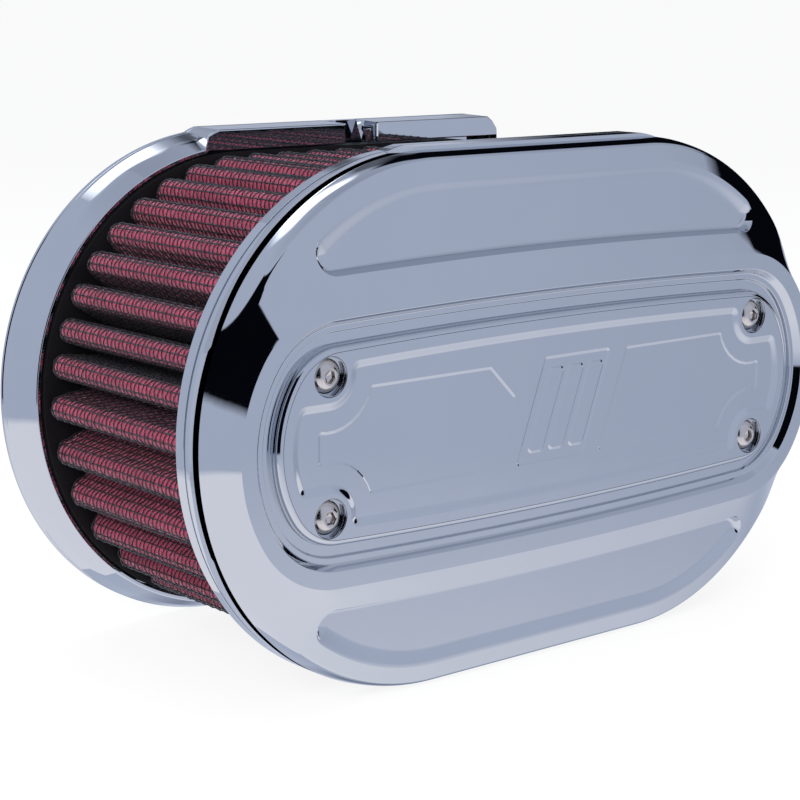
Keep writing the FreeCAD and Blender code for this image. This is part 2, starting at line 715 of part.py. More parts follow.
def make_cover():
    """Domed racetrack cover with two scallops, a stepped recess and hidden screws."""
    body = new_body("front_cover")
    wall = new_sketch(body, "cover_wall_outline", D.cover_back)
    add_stadium(wall, D.body_radius)
    pad(body, wall, D.crease_depth - D.cover_back)
    crease = new_sketch(body, "dome_rear", D.crease_depth)
    add_split_stadium(crease, D.body_radius, D.straight_half)
    shoulder = new_sketch(body, "dome_shoulder", D.dome_depth)
    add_split_stadium(shoulder, D.body_radius - D.shoulder_drop,
                      D.straight_half + D.shoulder_reach)
    outer_loft = body.newObject("PartDesign::AdditiveLoft", "dome_edge")
    outer_loft.Profile = crease
    outer_loft.Sections = [shoulder]
    outer_loft.Ruled = True
    doc.recompute()
    land = new_sketch(body, "dome_land", D.face_depth)
    add_bowed(land, D.land_width)
    inner_loft = body.newObject("PartDesign::AdditiveLoft", "dome_face")
    inner_loft.Profile = shoulder
    inner_loft.Sections = [land]
    inner_loft.Ruled = True
    doc.recompute()
    top = new_sketch(body, "cover_pad", D.crease_depth)
    add_polygon(top, [
        (-D.cover_pad_half, D.body_radius - D.cover_wall),
        (D.cover_pad_half, D.body_radius - D.cover_wall),
        (D.cover_pad_half, D.body_radius - D.pad_bevel),
        (D.cover_pad_half - D.cover_pad_slope, D.pad_height),
        (D.cover_pad_slope - D.cover_pad_half, D.pad_height),
        (-D.cover_pad_half, D.body_radius - D.pad_bevel),
    ])
    pad(body, top, D.crease_depth - D.cover_back, True)
    line = new_sketch(body, "side_line", D.groove_depth)
    add_stadium(line, D.body_radius - D.groove_cut)
    add_stadium(line, D.body_radius + D.cut_margin)
    pocket(body, line, D.groove_width, True)
    cavity = new_sketch(body, "cavity", D.cover_back)
    add_stadium(cavity, D.body_radius - D.cover_wall)
    pocket(body, cavity, D.cavity_depth - D.cover_back, True)
    steps = [
        ("recess_ledge", ZERO, D.ledge_depth),
        ("recess_floor", -D.ledge_width, D.floor_depth),
        ("insert_seat", -D.seat_inset, D.seat_depth),
    ]
    for name, offset, depth in steps:
        sketch = new_sketch(body, name, D.face_depth)
        add_bowed(sketch, offset)
        pocket(body, sketch, D.face_depth - depth)
    for name, level in (("upper_scallop", 1.0), ("lower_scallop", -1.0)):
        sketch = new_sketch(body, name, D.face_depth)
        add_scallop(sketch, level)
        pocket(body, sketch, D.face_depth - D.scallop_depth)
    taps = new_sketch(body, "insert_taps", D.seat_depth)
    sinks = new_sketch(body, "cover_screw_sinks", D.seat_depth)
    holes = new_sketch(body, "cover_screw_holes", D.seat_depth)
    for side, level in CORNERS:
        add_circle(taps, D.screw_span * side, D.screw_rise * level, D.screw_hole)
        add_circle(sinks, D.post_span * side, D.post_rise * level, D.head_sink)
        hole = D.post_hole + D.hole_play
        add_circle(holes, D.post_span * side, D.post_rise * level, hole)
    pocket(body, taps, D.seat_depth - D.screw_tip + D.hole_play)
    pocket(body, sinks, D.seat_depth - D.head_seat)
    pocket(body, holes, D.seat_depth - D.cavity_depth)
    return body


def make_cover_details():
    """Gasket behind the cover, and the four screws and washers under the insert."""
    ring_body("cover_gasket", D.cap_front + D.clearance, D.seal_outer,
              D.seal_inner, D.cavity_depth - D.cap_front - D.clearance * DOUBLE)
    for index, (side, level) in enumerate(CORNERS, start=1):
        across = D.post_span * side
        rise = D.post_rise * level
        seat = D.head_seat + D.washer_thick
        top = seat + D.head_height
        turned_body("cover_washer_%d" % index, across, rise, [
            (D.post_hole + D.clearance, D.head_seat),
            (D.head_radius + D.hole_play, D.head_seat),
            (D.head_radius + D.hole_play, seat),
            (D.post_hole + D.clearance, seat),
        ])
        screw = turned_body("cover_screw_%d" % index, across, rise, [
            (ZERO, D.cavity_depth - D.screw_reach),
            (D.post_shank, D.cavity_depth - D.screw_reach),
            (D.post_shank, seat),
            (D.head_radius, seat),
            (D.head_radius, top - D.washer_thick),
            (D.head_radius - D.washer_thick, top),
            (ZERO, top),
        ])
        cut_socket(screw, "cover_socket_%d" % index, top, D.head_socket, D.head_socket_cut)


def cut_socket(body, label, depth, radius, cut):
    """Hexagon socket in a screw head."""
    sketch = new_sketch(body, label, depth)
    turns = [math.radians(60.0 * index) for index in range(6)]
    add_polygon(sketch, [
        (radius * near_nought(math.cos(turn)), radius * near_nought(math.sin(turn)))
        for turn in turns])
    pocket(body, sketch, cut)


# ---------------------------------------------------------------- insert plate


def add_engraving(sketch):
    """Engraved outline that steps round the four insert screws."""
    pi = math.pi
    inset = D.engrave_inset
    end_x, bow_y, corner, end_turn, bow_turn = bowed_centres()
    end_r = D.end_radius - inset
    bow_r = D.bow_radius - inset
    guard = D.engrave_guard
    fillet = D.engrave_corner
    sx, sz = D.screw_span.value, D.screw_rise.value
    g, f = guard.value, fillet.value
    # Upper fillet: inside the bowed side and outside the guard arc.
    upper = (sx - g - f, sz)
    for step in range(SOLVER_STEPS):
        up = math.sqrt((bow_r.value - f) ** 2 - upper[0] ** 2) - bow_y
        across = sx - math.sqrt((g + f) ** 2 - (up - sz) ** 2)
        upper = (across, up)
    # Lower fillet: below the level line under the screw, inside the round end.
    level = sz - g
    low_y = level - f
    lower = (end_x + math.sqrt((end_r.value - f) ** 2 - low_y ** 2), low_y)
    bow_angle = math.atan2(upper[1] + bow_y, upper[0])
    guard_angle = math.atan2(upper[1] - sz, upper[0] - sx)
    end_angle = math.atan2(lower[1], lower[0] - end_x)

    def mirrored(centre, radius, start, end, side, rise):
        cx, cy = centre
        if side < 0:
            cx, start, end = -cx, pi - end, pi - start
        if rise < 0:
            cy, start, end = -cy, -end, -start
        return arc((cx, cy), radius, start, end)

    chain = []

    def add(item, flipped):
        geometry = sketch.addGeometry(item)
        chain.append((geometry,) + ((END, START) if flipped else (START, END)))
        return geometry

    right = add(arc((end_x, 0), end_r.value, -end_angle, end_angle), False)
    quarters = {}

    def quarter(side, rise, outward):
        """Add one corner's four pieces, from the end towards the middle or back."""
        pieces = ["lower", "level", "guard", "upper"]
        if not outward:
            pieces.reverse()
        made = {}
        for piece in pieces:
            if piece == "lower":
                item = mirrored(lower, f, end_angle, pi / 2, side, rise)
                made[piece] = add(item, False)
            elif piece == "level":
                near = vector(side * lower[0], rise * level)
                far = vector(side * sx, rise * level)
                ends = (near, far) if outward else (far, near)
                made[piece] = add(Part.LineSegment(*ends), False)
            elif piece == "guard":
                turn = guard_angle % (2 * pi)
                item = mirrored((sx, sz), g, turn, 3 * pi / 2, side, rise)
                made[piece] = add(item, True)
            else:
                opposite = (guard_angle + pi) % (2 * pi)
                opposite = opposite - 2 * pi if opposite > pi else opposite
                item = mirrored(upper, f, opposite, bow_angle, side, rise)
                made[piece] = add(item, False)
        quarters[(side, rise)] = made

    quarter(1, 1, True)
    top = add(arc((0, -bow_y), bow_r.value, bow_angle, pi - bow_angle), False)
    quarter(-1, 1, False)
    left = add(arc((-end_x, 0), end_r.value, pi - end_angle, pi + end_angle), False)
    quarter(-1, -1, True)
    low = add(arc((0, bow_y), bow_r.value, pi + bow_angle, 2 * pi - bow_angle), False)
    quarter(1, -1, False)
    join_tangent(sketch, chain)
    end_at = D.lip_length - D.end_radius
    bow_at = D.bow_radius - D.lip_height
    for geometry, size in ((right, end_r), (left, end_r), (top, bow_r), (low, bow_r)):
        bind_radius(sketch, geometry, size)
    bind_point(sketch, right, CENTRE, end_at, ZERO)
    bind_point(sketch, left, CENTRE, -end_at, ZERO)
    bind_point(sketch, top, CENTRE, ZERO, -bow_at)
    bind_point(sketch, low, CENTRE, ZERO, bow_at)
    for (side, rise), made in quarters.items():
        bind_radius(sketch, made["lower"], fillet)
        bind_radius(sketch, made["upper"], fillet)
        bind_radius(sketch, made["guard"], guard)
        bind_point(sketch, made["guard"], CENTRE, D.screw_span * side, D.screw_rise * rise)
        sketch.addConstraint(Sketcher.Constraint("Horizontal", made["level"]))


def number(value):
    """Fixed length of a decoration, not driven by the sheet."""
    return Size(value, repr(float(value)))


def slanted(left, right, low, high, lean):
    """Corners of a slanted panel: its top is shifted right by lean."""
    return [
        (number(left), number(low)),
        (number(right), number(low)),
        (number(right + lean), number(high)),
        (number(left + lean), number(high)),
    ]


# Corners of the two shallow panels, left and right of the slanted one.
STEP_PANELS = [
    [(-87.0, -4.0), (-76.0, -7.5), (-69.5, -14.8), (-27.0, -14.8), (-19.5, 5.5),
     (-27.0, 15.2), (-69.5, 15.2), (-76.0, 7.5), (-87.0, 4.0)],
    [(17.0, -14.8), (69.5, -14.8), (76.0, -7.5), (87.0, -4.0), (87.0, 4.0),
     (76.0, 7.5), (69.5, 15.2), (28.2, 15.2)],
]
# Left and right foot, bottom, top and sideways lean of the slanted panel, and its three bars.
EMBLEM = (-16.5, 10.5, -15.0, 15.8, 11.0)
EMBLEM_BARS = [(-12.5, -7.5), (-4.5, 0.5), (3.5, 8.5)]
BAR_LOW, BAR_HIGH = -11.0, 11.8
LEAN_PER_HEIGHT = EMBLEM[4] / (EMBLEM[3] - EMBLEM[2])


def make_insert():
    """Polished plate screwed into the cover's recess, with shallow engraving."""
    body = new_body("insert_plate")
    outline = new_sketch(body, "insert_outline", D.seat_depth)
    add_bowed(outline, -(D.seat_inset + D.insert_gap))
    slab = pad(body, outline, D.face_depth - D.seat_depth)
    front = faces_at(slab, D.face_depth.value)
    round_edges(body, slab, front, D.insert_round)
    engraving = new_sketch(body, "engraving", D.face_depth)
    add_engraving(engraving)
    pocket(body, engraving, D.engrave_cut)
    floor = D.face_depth - D.engrave_cut
    for index, points in enumerate(STEP_PANELS, start=1):
        sketch = new_sketch(body, "engraved_panel_%d" % index, floor)
        add_polygon(sketch, [(number(across), number(up)) for across, up in points])
        pocket(body, sketch, D.step_cut)
    emblem = new_sketch(body, "emblem_panel", floor)
    left, right, low, high, lean = EMBLEM
    add_polygon(emblem, slanted(left, right, low, high, lean))
    for bar_left, bar_right in EMBLEM_BARS:
        rise = BAR_LOW - low
        shift = LEAN_PER_HEIGHT * rise
        bar_lean = LEAN_PER_HEIGHT * (BAR_HIGH - BAR_LOW)
        add_polygon(emblem, slanted(bar_left + shift, bar_right + shift,
                                    BAR_LOW, BAR_HIGH, bar_lean))
    pocket(body, emblem, D.emblem_cut)
    sinks = new_sketch(body, "insert_sinks", D.face_depth)
    holes = new_sketch(body, "insert_holes", D.face_depth)
    for side, level in CORNERS:
        add_circle(sinks, D.screw_span * side, D.screw_rise * level, D.screw_sink)
        add_circle(holes, D.screw_span * side, D.screw_rise * level, D.screw_hole + D.hole_play)
    pocket(body, sinks, D.screw_sink_cut)
    pocket(body, holes, D.face_depth - D.seat_depth)
    return body


# Share of the head radius and of the head height at each corner of a button head.
BUTTON = [(1.0, 0.0), (1.0, 0.27), (0.905, 0.62), (0.725, 0.885), (0.49, 1.0)]


def make_insert_screws():
    """Four button head socket screws."""
    seat = D.face_depth - D.screw_sink_cut
    top = seat + D.screw_dome
    for index, (side, level) in enumerate(CORNERS, start=1):
        across = D.screw_span * side
        rise = D.screw_rise * level
        screw = turned_body("insert_screw_%d" % index, across, rise, [
            (ZERO, D.screw_tip),
            (D.screw_shank - D.screw_point, D.screw_tip),
            (D.screw_shank, D.screw_tip + D.screw_point),
            (D.screw_shank, seat),
        ] + [
            (D.screw_head * across, seat + D.screw_dome * rise) for across, rise in BUTTON
        ] + [(ZERO, top)])
        cut_socket(screw, "insert_socket_%d" % index, top, D.screw_socket, D.screw_socket_cut)


# ---------------------------------------------------------------- build and export

make_backplate()
make_base_details()
make_element()
make_cover()
make_cover_details()
make_insert()
make_insert_screws()
doc.recompute()

for item in doc.Objects:
    if "Invalid" in item.State or "Error" in item.State:
        print("PROBLEM", item.Label, item.State)

parts = [item for item in doc.Objects if item.TypeId in ("PartDesign::Body", "Part::Feature")]
for item in parts:
    shape = item.Shape
    sound = not shape.isNull() and shape.isValid() and len(shape.Solids) == 1
    print("%-18s solids %d volume %10.1f %s" % (
        item.Label, len(shape.Solids), shape.Volume, "ok" if sound else "BAD"))
    shape.exportStep("parts/%s.step" % item.Label)
print(len(parts), "sub-parts written")
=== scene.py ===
import math

import bpy
from mathutils import Matrix, Vector
from mathutils.geometry import delaunay_2d_cdt, tessellate_polygon


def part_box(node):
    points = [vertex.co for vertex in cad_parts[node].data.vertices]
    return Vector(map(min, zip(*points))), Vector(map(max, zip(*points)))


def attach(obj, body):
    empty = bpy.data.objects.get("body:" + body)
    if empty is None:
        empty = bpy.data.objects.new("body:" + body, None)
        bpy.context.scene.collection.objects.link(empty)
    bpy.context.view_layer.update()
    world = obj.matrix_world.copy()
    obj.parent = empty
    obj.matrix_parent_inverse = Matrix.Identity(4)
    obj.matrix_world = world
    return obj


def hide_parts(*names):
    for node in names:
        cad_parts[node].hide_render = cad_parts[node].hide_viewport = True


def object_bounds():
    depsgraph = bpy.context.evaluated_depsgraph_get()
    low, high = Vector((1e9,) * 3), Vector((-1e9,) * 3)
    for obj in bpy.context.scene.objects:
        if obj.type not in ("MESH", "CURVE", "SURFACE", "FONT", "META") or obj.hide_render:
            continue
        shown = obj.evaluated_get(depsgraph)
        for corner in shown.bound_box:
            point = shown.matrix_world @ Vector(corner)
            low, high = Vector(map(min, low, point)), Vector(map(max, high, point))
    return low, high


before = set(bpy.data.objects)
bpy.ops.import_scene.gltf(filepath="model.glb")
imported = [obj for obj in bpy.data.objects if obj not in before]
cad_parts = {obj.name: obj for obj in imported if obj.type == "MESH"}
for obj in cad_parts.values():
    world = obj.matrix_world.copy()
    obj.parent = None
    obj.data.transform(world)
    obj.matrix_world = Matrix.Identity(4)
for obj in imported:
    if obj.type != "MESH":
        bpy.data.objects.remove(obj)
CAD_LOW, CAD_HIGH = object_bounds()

# Looks of a racetrack motorcycle air cleaner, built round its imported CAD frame.
# Shapes are worked out in millimetres as (across, depth, up): across is +X, up is +Z, and
# depth runs forward from the rear mounting face, so a point lies at Y = -depth.

MM = 0.001
MERGE_GAP = 1e-6
SMOOTH_LIMIT = math.cos(math.radians(4.0))
SHARP_ANGLE = math.radians(50.0)
HALF_TURN = math.pi
QUARTER_TURN = math.pi / 2

# ------------------------------------------------------------- sizes read from the frame


class NodeBox:
    """A CAD node's box in millimetres, with back and front as depths."""

    def __init__(self, node):
        low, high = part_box(node)
        self.left, self.right = low.x / MM, high.x / MM
        self.bottom, self.top = low.z / MM, high.z / MM
        self.back, self.front = -high.y / MM, -low.y / MM


COVER = NodeBox("front_cover")
PLATE = NodeBox("backplate")
INSERT = NodeBox("insert_plate")
MEDIA = NodeBox("filter_media")
BUTTON = NodeBox("insert_screw_1")
POST = NodeBox("post_1")
RING = NodeBox("velocity_ring")
GASKET = NodeBox("rear_gasket")
SEAL = NodeBox("breather_seal_right")

END_R = -COVER.bottom
RUN = COVER.right - END_R
FACE = COVER.front

# ------------------------------------------------------------- shape of the cover's face

# Dome, from the crease at the wall up to the land. A shoulder is (distance in from the wall,
# depth), and a pull is the distance in at which the edge's curve aims.
CREASE = FACE - 12.0
END_SHOULDER = (4.0, FACE - 5.5)
SIDE_SHOULDER = (2.4, FACE - 5.8)
END_PULL = 2.0
SIDE_PULL = 0.8
CONE_WIDTH = 7.4
SHOULDER_BLEND = 7.0
EDGE_ZONE = 4.0

# Land and recess. Distances run outward from the recess outline, so those inside are negative.
LAND = 4.85
LEDGE = FACE - 2.0
LIP_WALL = 1.6
LEDGE_IN = -3.3
FLOOR = FACE - 3.2
SEAT = INSERT.back
SEAT_IN = -6.6
INSERT_IN = -6.75
LIP_LENGTH = INSERT.right - INSERT_IN
LIP_HEIGHT = INSERT.top - INSERT_IN
LIP_END_R = 41.0
LIP_CORNER_R = 25.0
LIP_BOW_R = 2100.0

# Scallops: distance in from the rim, height of the bowed edge above the middle, corner radius.
SCALLOP_FLOOR = FACE - 5.4
SCALLOP_RIM = 6.7
SCALLOP_EDGE = 46.4
SCALLOP_CORNER = 5.5

# Cover wall, its groove, its hollow inside and the flat pad on its top.
WALL = 4.0
GROOVE_BACK = 93.3
GROOVE_FRONT = 93.9
GROOVE_CUT = 0.5
HOLLOW = POST.front
REAR_ROUND = 0.35
COVER_PAD_FLAT = 44.0
COVER_PAD_SLOPE = 6.0

# Button screws, their counterbores in the insert, and the posts.
BUTTON_SPAN = -(BUTTON.left + BUTTON.right) / 2
BUTTON_RISE = (BUTTON.bottom + BUTTON.top) / 2
BUTTON_R = (BUTTON.right - BUTTON.left) / 2
SINK_R = BUTTON_R + 0.55
SINK_CUT = 2.7
HEXAGON_TURN = 0.35
POST_SPAN = -(POST.left + POST.right) / 2
POST_RISE = (POST.bottom + POST.top) / 2
CORNERS = [(-1, 1), (1, 1), (-1, -1), (1, -1)]

# Rounds for finding where a rounded corner touches its two neighbours.
SETTLING_STEPS = 60

# ------------------------------------------------------------- shells with exact normals


def pairs(items, closed=True):
    """Neighbours along a list, and from its end to its start when it is closed."""
    return list(zip(items, items[1:] + items[:1] if closed else items[1:]))


def place_object(name, data):
    thing = bpy.data.objects.new(name, data)
    bpy.context.scene.collection.objects.link(thing)
    return thing


class Shell:
    """Closed mesh gathered face by face, each corner with its own exact normal."""

    def __init__(self):
        self.points = []
        self.lookup = {}
        self.faces = []
        self.normals = []

    def vertex(self, point):
        key = tuple(round(value, 3) for value in point)
        if key not in self.lookup:
            self.lookup[key] = len(self.points)
            self.points.append(point)
        return self.lookup[key]

    def face(self, corners):
        """corners is a list of (point, normal); winding is turned to suit the normals."""
        kept = []
        for point, normal in corners:
            index = self.vertex(point)
            if index not in [item[0] for item in kept]:
                kept.append((index, normal))
        if len(kept) < 3:
            return
        spots = [Vector(self.points[index]) for index, normal in kept]
        turned = Vector((0.0, 0.0, 0.0))
        for index in range(1, len(spots) - 1):
            turned += (spots[index] - spots[0]).cross(spots[index + 1] - spots[0])
        facing = Vector((0.0, 0.0, 0.0))
        for index, normal in kept:
            facing += Vector(normal)
        if turned.dot(facing) < 0:
            kept.reverse()
        self.faces.append([index for index, normal in kept])
        self.normals.extend(normal for index, normal in kept)

    def facet(self, points, normal):
        """Flat face: all its corners have the same normal."""
        self.face([(point, normal) for point in points])

    def band(self, near, far):
        """Closed band of faces between two matching rows of corners."""
        for (a, b), (c, d) in zip(pairs(near), pairs(far)):
            self.face([a, b, d, c])

    def build(self, name):
        """Mesh object in metres. Depth turns into -Y, so every face is wound the other way."""
        mesh = bpy.data.meshes.new(name)
        spots = [(x * MM, -depth * MM, z * MM) for x, depth, z in self.points]
        faces = [list(reversed(face)) for face in self.faces]
        mesh.from_pydata(spots, [], faces)
        corner_normals = []
        start = 0
        for face in self.faces:
            block = self.normals[start:start + len(face)]
            corner_normals.extend((nx, -nd, nz) for nx, nd, nz in reversed(block))
            start += len(face)
        mesh.polygons.foreach_set("use_smooth", [True] * len(mesh.polygons))
        mesh.normals_split_custom_set(corner_normals)
        return place_object(name, mesh)


# A spoke is (centre x, centre z, direction x, direction z, base radius): a point of an
# outline that can slide in and out, so that every parallel outline has matching points.


def spot(spoke, offset=0.0):
    cx, cz, dx, dz, base = spoke
    return (cx + (base + offset) * dx, cz + (base + offset) * dz)


def arc_spokes(cx, cz, radius, start, end, count, last=False):
    """Spokes of an arc between two angles; its last point is left for the next piece."""
    spokes = []
    for index in range(count + (1 if last else 0)):
        turn = start + (end - start) * index / count
        spokes.append((cx, cz, math.cos(turn), math.sin(turn), radius))
    return spokes


def line_spokes(x0, x1, level, radius, count):
    """Spokes of a level line, above the middle (level 1) or below it (level -1)."""
    return [(x0 + (x1 - x0) * index / count, 0.0, 0.0, level, radius) for index in range(count)]


def stadium_spokes(radius, run, along, around):
    """Racetrack outline, anticlockwise from the right end of its top line."""
    spokes = line_spokes(run, -run, 1, radius, along)
    spokes += arc_spokes(-run, 0, radius, QUARTER_TURN, 3 * QUARTER_TURN, around)
    spokes += line_spokes(-run, run, -1, radius, along)
    spokes += arc_spokes(run, 0, radius, -QUARTER_TURN, QUARTER_TURN, around)
    return spokes


def bowed_shape():
    """Centres and joint angles of the recess outline: round ends, corners, bowed sides."""
    end_x = LIP_LENGTH - LIP_END_R
    bow_z = LIP_BOW_R - LIP_HEIGHT
    far = LIP_BOW_R - LIP_CORNER_R
    near = LIP_END_R - LIP_CORNER_R
    corner = (end_x + near, 0.0)
    for _ in range(SETTLING_STEPS):
        up = math.sqrt(far ** 2 - corner[0] ** 2) - bow_z
        corner = (end_x + math.sqrt(near ** 2 - up ** 2), up)
    end_turn = math.atan2(corner[1], corner[0] - end_x)
    bow_turn = math.atan2(corner[1] + bow_z, corner[0])
    return end_x, bow_z, corner, end_turn, bow_turn


END_X, BOW_Z, CORNER, END_TURN, BOW_TURN = bowed_shape()


def bowed_spokes():
    """Recess outline: end, corner, bowed side and corner, then the same half a turn on."""
    cx, cz = CORNER
    end_count, corner_count, bow_count = 24, 18, 50
    spokes = []
    for sign, turn in ((1, 0.0), (-1, HALF_TURN)):
        opposite = turn + HALF_TURN
        spokes += arc_spokes(sign * END_X, 0, LIP_END_R, turn - END_TURN, turn + END_TURN, end_count)
        spokes += arc_spokes(sign * cx, sign * cz, LIP_CORNER_R, turn + END_TURN, turn + BOW_TURN,
                             corner_count)
        spokes += arc_spokes(0, -sign * BOW_Z, LIP_BOW_R, turn + BOW_TURN, opposite - BOW_TURN,
                             bow_count)
        spokes += arc_spokes(-sign * cx, sign * cz, LIP_CORNER_R, opposite - BOW_TURN,
                             opposite - END_TURN, corner_count)
    return spokes


def circle_spokes(cx, cz, radius, count):
    return arc_spokes(cx, cz, radius, 0.0, 2 * HALF_TURN, count)


def profile(corners, side, steps=6):
    """Runs of (offset, depth, normal out, normal forward) along a line of corners.

    A corner is (offset, depth) or (offset, depth, rounding radius). side is 1 when the
    open air is to the right of the line's direction, and -1 when it is to the left.
    """
    spots = [Vector(corner[:2]) for corner in corners]
    radii = [corner[2] if len(corner) > 2 else 0.0 for corner in corners]
    ways = [(spots[i + 1] - spots[i]).normalized() for i in range(len(spots) - 1)]
    normals = [Vector((way.y, -way.x)) * side for way in ways]
    runs = []
    start = spots[0]
    for index, way in enumerate(ways):
        end = spots[index + 1]
        radius = radii[index + 1] if index + 1 < len(ways) else 0.0
        if radius:
            turn = way.angle_signed(ways[index + 1])
            end = end - way * radius * math.tan(abs(turn) / 2)
        normal = normals[index]
        runs.append([(start.x, start.y, normal.x, normal.y), (end.x, end.y, normal.x, normal.y)])
        start = end
        if radius:
            after = normals[index + 1]
            bulge = 1.0 if after.dot(way) > 0 else -1.0
            centre = end - normal * radius * bulge
            whole = normal.angle_signed(after)
            bend = []
            for step in range(steps + 1):
                angle = -whole * step / steps
                nx = normal.x * math.cos(angle) - normal.y * math.sin(angle)
                ny = normal.x * math.sin(angle) + normal.y * math.cos(angle)
                bend.append((centre.x + nx * radius * bulge, centre.y + ny * radius * bulge, nx, ny))
            runs.append(bend)
            start = Vector(bend[-1][:2])
    return runs


def corner_of(spoke, point, flat_normal=None):
    """Mesh corner for one profile point on one spoke."""
    offset, depth, out, forward = point
    x, z = spot(spoke, offset)
    dx, dz = flat_normal or (spoke[2], spoke[3])
    return ((x, depth, z), (out * dx, forward, out * dz))


def facet_normal(here, there):
    """Flat normal between two spokes where the outline has a corner, otherwise None."""
    ax, az = spot(here)
    bx, bz = spot(there)
    length = math.hypot(bx - ax, bz - az)
    if length <= 0.001:
        return None
    facet = ((bz - az) / length, (ax - bx) / length)
    agree = facet[0] * here[2] + facet[1] * here[3]
    if agree < 0:
        facet = (-facet[0], -facet[1])
    ends = [abs(agree), abs(facet[0] * there[2] + facet[1] * there[3])]
    return facet if min(ends) < SMOOTH_LIMIT else None


def sweep(shell, spokes, runs, closed=True):
    """Carry a profile round an outline. runs may be a list of runs for every spoke."""
    if not isinstance(runs[0][0], list):
        runs = [runs] * len(spokes)
    for (here, left_runs), (there, right_runs) in pairs(list(zip(spokes, runs)), closed):
        normal = facet_normal(here, there)
        for left, right in zip(left_runs, right_runs):
            for (a, b), (c, d) in zip(pairs(left, False), pairs(right, False)):
                corners = ((here, a), (there, c), (there, d), (here, b))
                shell.face([corner_of(spoke, point, normal) for spoke, point in corners])


def triangulate(loops, loose):
    """Triangles over closed loops and loose points: input points, found places and sources."""
    points = []
    edges = []
    for loop in loops:
        edges += pairs(list(range(len(points), len(points) + len(loop))))
        points += loop
    points += loose
    result = delaunay_2d_cdt([Vector(point) for point in points], edges, [], 0, MERGE_GAP)
    found, faces, sources = result[0], result[2], result[3]
    return points, found, faces, sources


def flat(shell, depth, outline, holes, forward=1.0):
    """Fill a flat region between loops of (x, z) points."""
    points, found, faces, sources = triangulate([outline] + holes, [])
    spots = [points[source[0]] if source else tuple(place)
             for source, place in zip(sources, found)]
    for face in faces:
        x = sum(spots[index][0] for index in face) / 3
        z = sum(spots[index][1] for index in face) / 3
        if inside_loop(x, z, outline) and not any(inside_loop(x, z, hole) for hole in holes):
            shell.facet([(spots[i][0], depth, spots[i][1]) for i in face], (0.0, forward, 0.0))


def ring(spokes, offset=0.0):
    return [spot(spoke, offset) for spoke in spokes]


def circle(cx, cz, radius, count):
    return ring(circle_spokes(cx, cz, radius, count))


def drilled(shell, cx, cz, steps, count=40, end=None):
    """Round hole: steps is a list of (radius, depth) corners; end closes it at that depth."""
    spokes = circle_spokes(cx, cz, 0.0, count)
    runs = profile(steps, hole_side(steps))
    sweep(shell, spokes, runs)
    if end is not None:
        flat(shell, end[1], ring(spokes, end[0]), [], end[2])


def hole_side(steps):
    """A hole's air is on its axis side, whichever way its corners are listed."""
    (r0, d0), (r1, d1) = steps[0][:2], steps[1][:2]
    if abs(d1 - d0) > abs(r1 - r0):
        return -1 if d1 > d0 else 1
    return 1 if r1 > r0 else -1


# ------------------------------------------------------------- domed face of the cover


def outside_lip(x, z):
    """Distance outside the recess outline, the same on all four sides."""
    x, z = abs(x), abs(z)
    cx, cz = CORNER
    if math.atan2(z, x - END_X) <= END_TURN and x > END_X:
        return math.hypot(x - END_X, z) - LIP_END_R
    if x > cx and math.atan2(z - cz, x - cx) <= BOW_TURN:
        return math.hypot(x - cx, z - cz) - LIP_CORNER_R
    return math.hypot(x, z + BOW_Z) - LIP_BOW_R


def inside_wall(x, z):
    """Distance inside the cover's racetrack outline."""
    return END_R - math.hypot(max(abs(x) - RUN, 0.0), z)


def between(first, second, share):
    return first + (second - first) * share


def dome(x, z):
    """Depth of the cover's face between its crease and the land round the recess.

    The ends are one straight chamfer. Along the sides a short steep shoulder turns into a
    long shallow slope.
    """
    inward = inside_wall(x, z)
    width = inward + outside_lip(x, z) - LAND
    if width <= CONE_WIDTH:
        return CREASE + (FACE - CREASE) * inward / width
    side = ease((width - CONE_WIDTH) / SHOULDER_BLEND)
    shoulder_in = between(END_SHOULDER[0], SIDE_SHOULDER[0], side)
    shoulder = between(END_SHOULDER[1], SIDE_SHOULDER[1], side)
    slope = (FACE - shoulder) / (width - shoulder_in)
    if inward >= shoulder_in:
        return shoulder + slope * (inward - shoulder_in)
    pull_in = between(END_PULL, SIDE_PULL, side)
    pull = shoulder - slope * (shoulder_in - pull_in)
    inward = max(inward, 0.0)
    root = math.sqrt(max(pull_in ** 2 + (shoulder_in - 2 * pull_in) * inward, 0.0))
    share = inward / (pull_in + root)
    return (1 - share) ** 2 * CREASE + 2 * share * (1 - share) * pull + share ** 2 * shoulder


def dome_corner(x, z):
    """Mesh corner on the dome with its exact normal."""
    step = 0.02
    slope_x = (dome(x + step, z) - dome(x - step, z)) / (2 * step)
    slope_z = (dome(x, z + step) - dome(x, z - step)) / (2 * step)
    size = math.sqrt(1 + slope_x ** 2 + slope_z ** 2)
    return ((x, dome(x, z), z), (-slope_x / size, 1 / size, -slope_z / size))


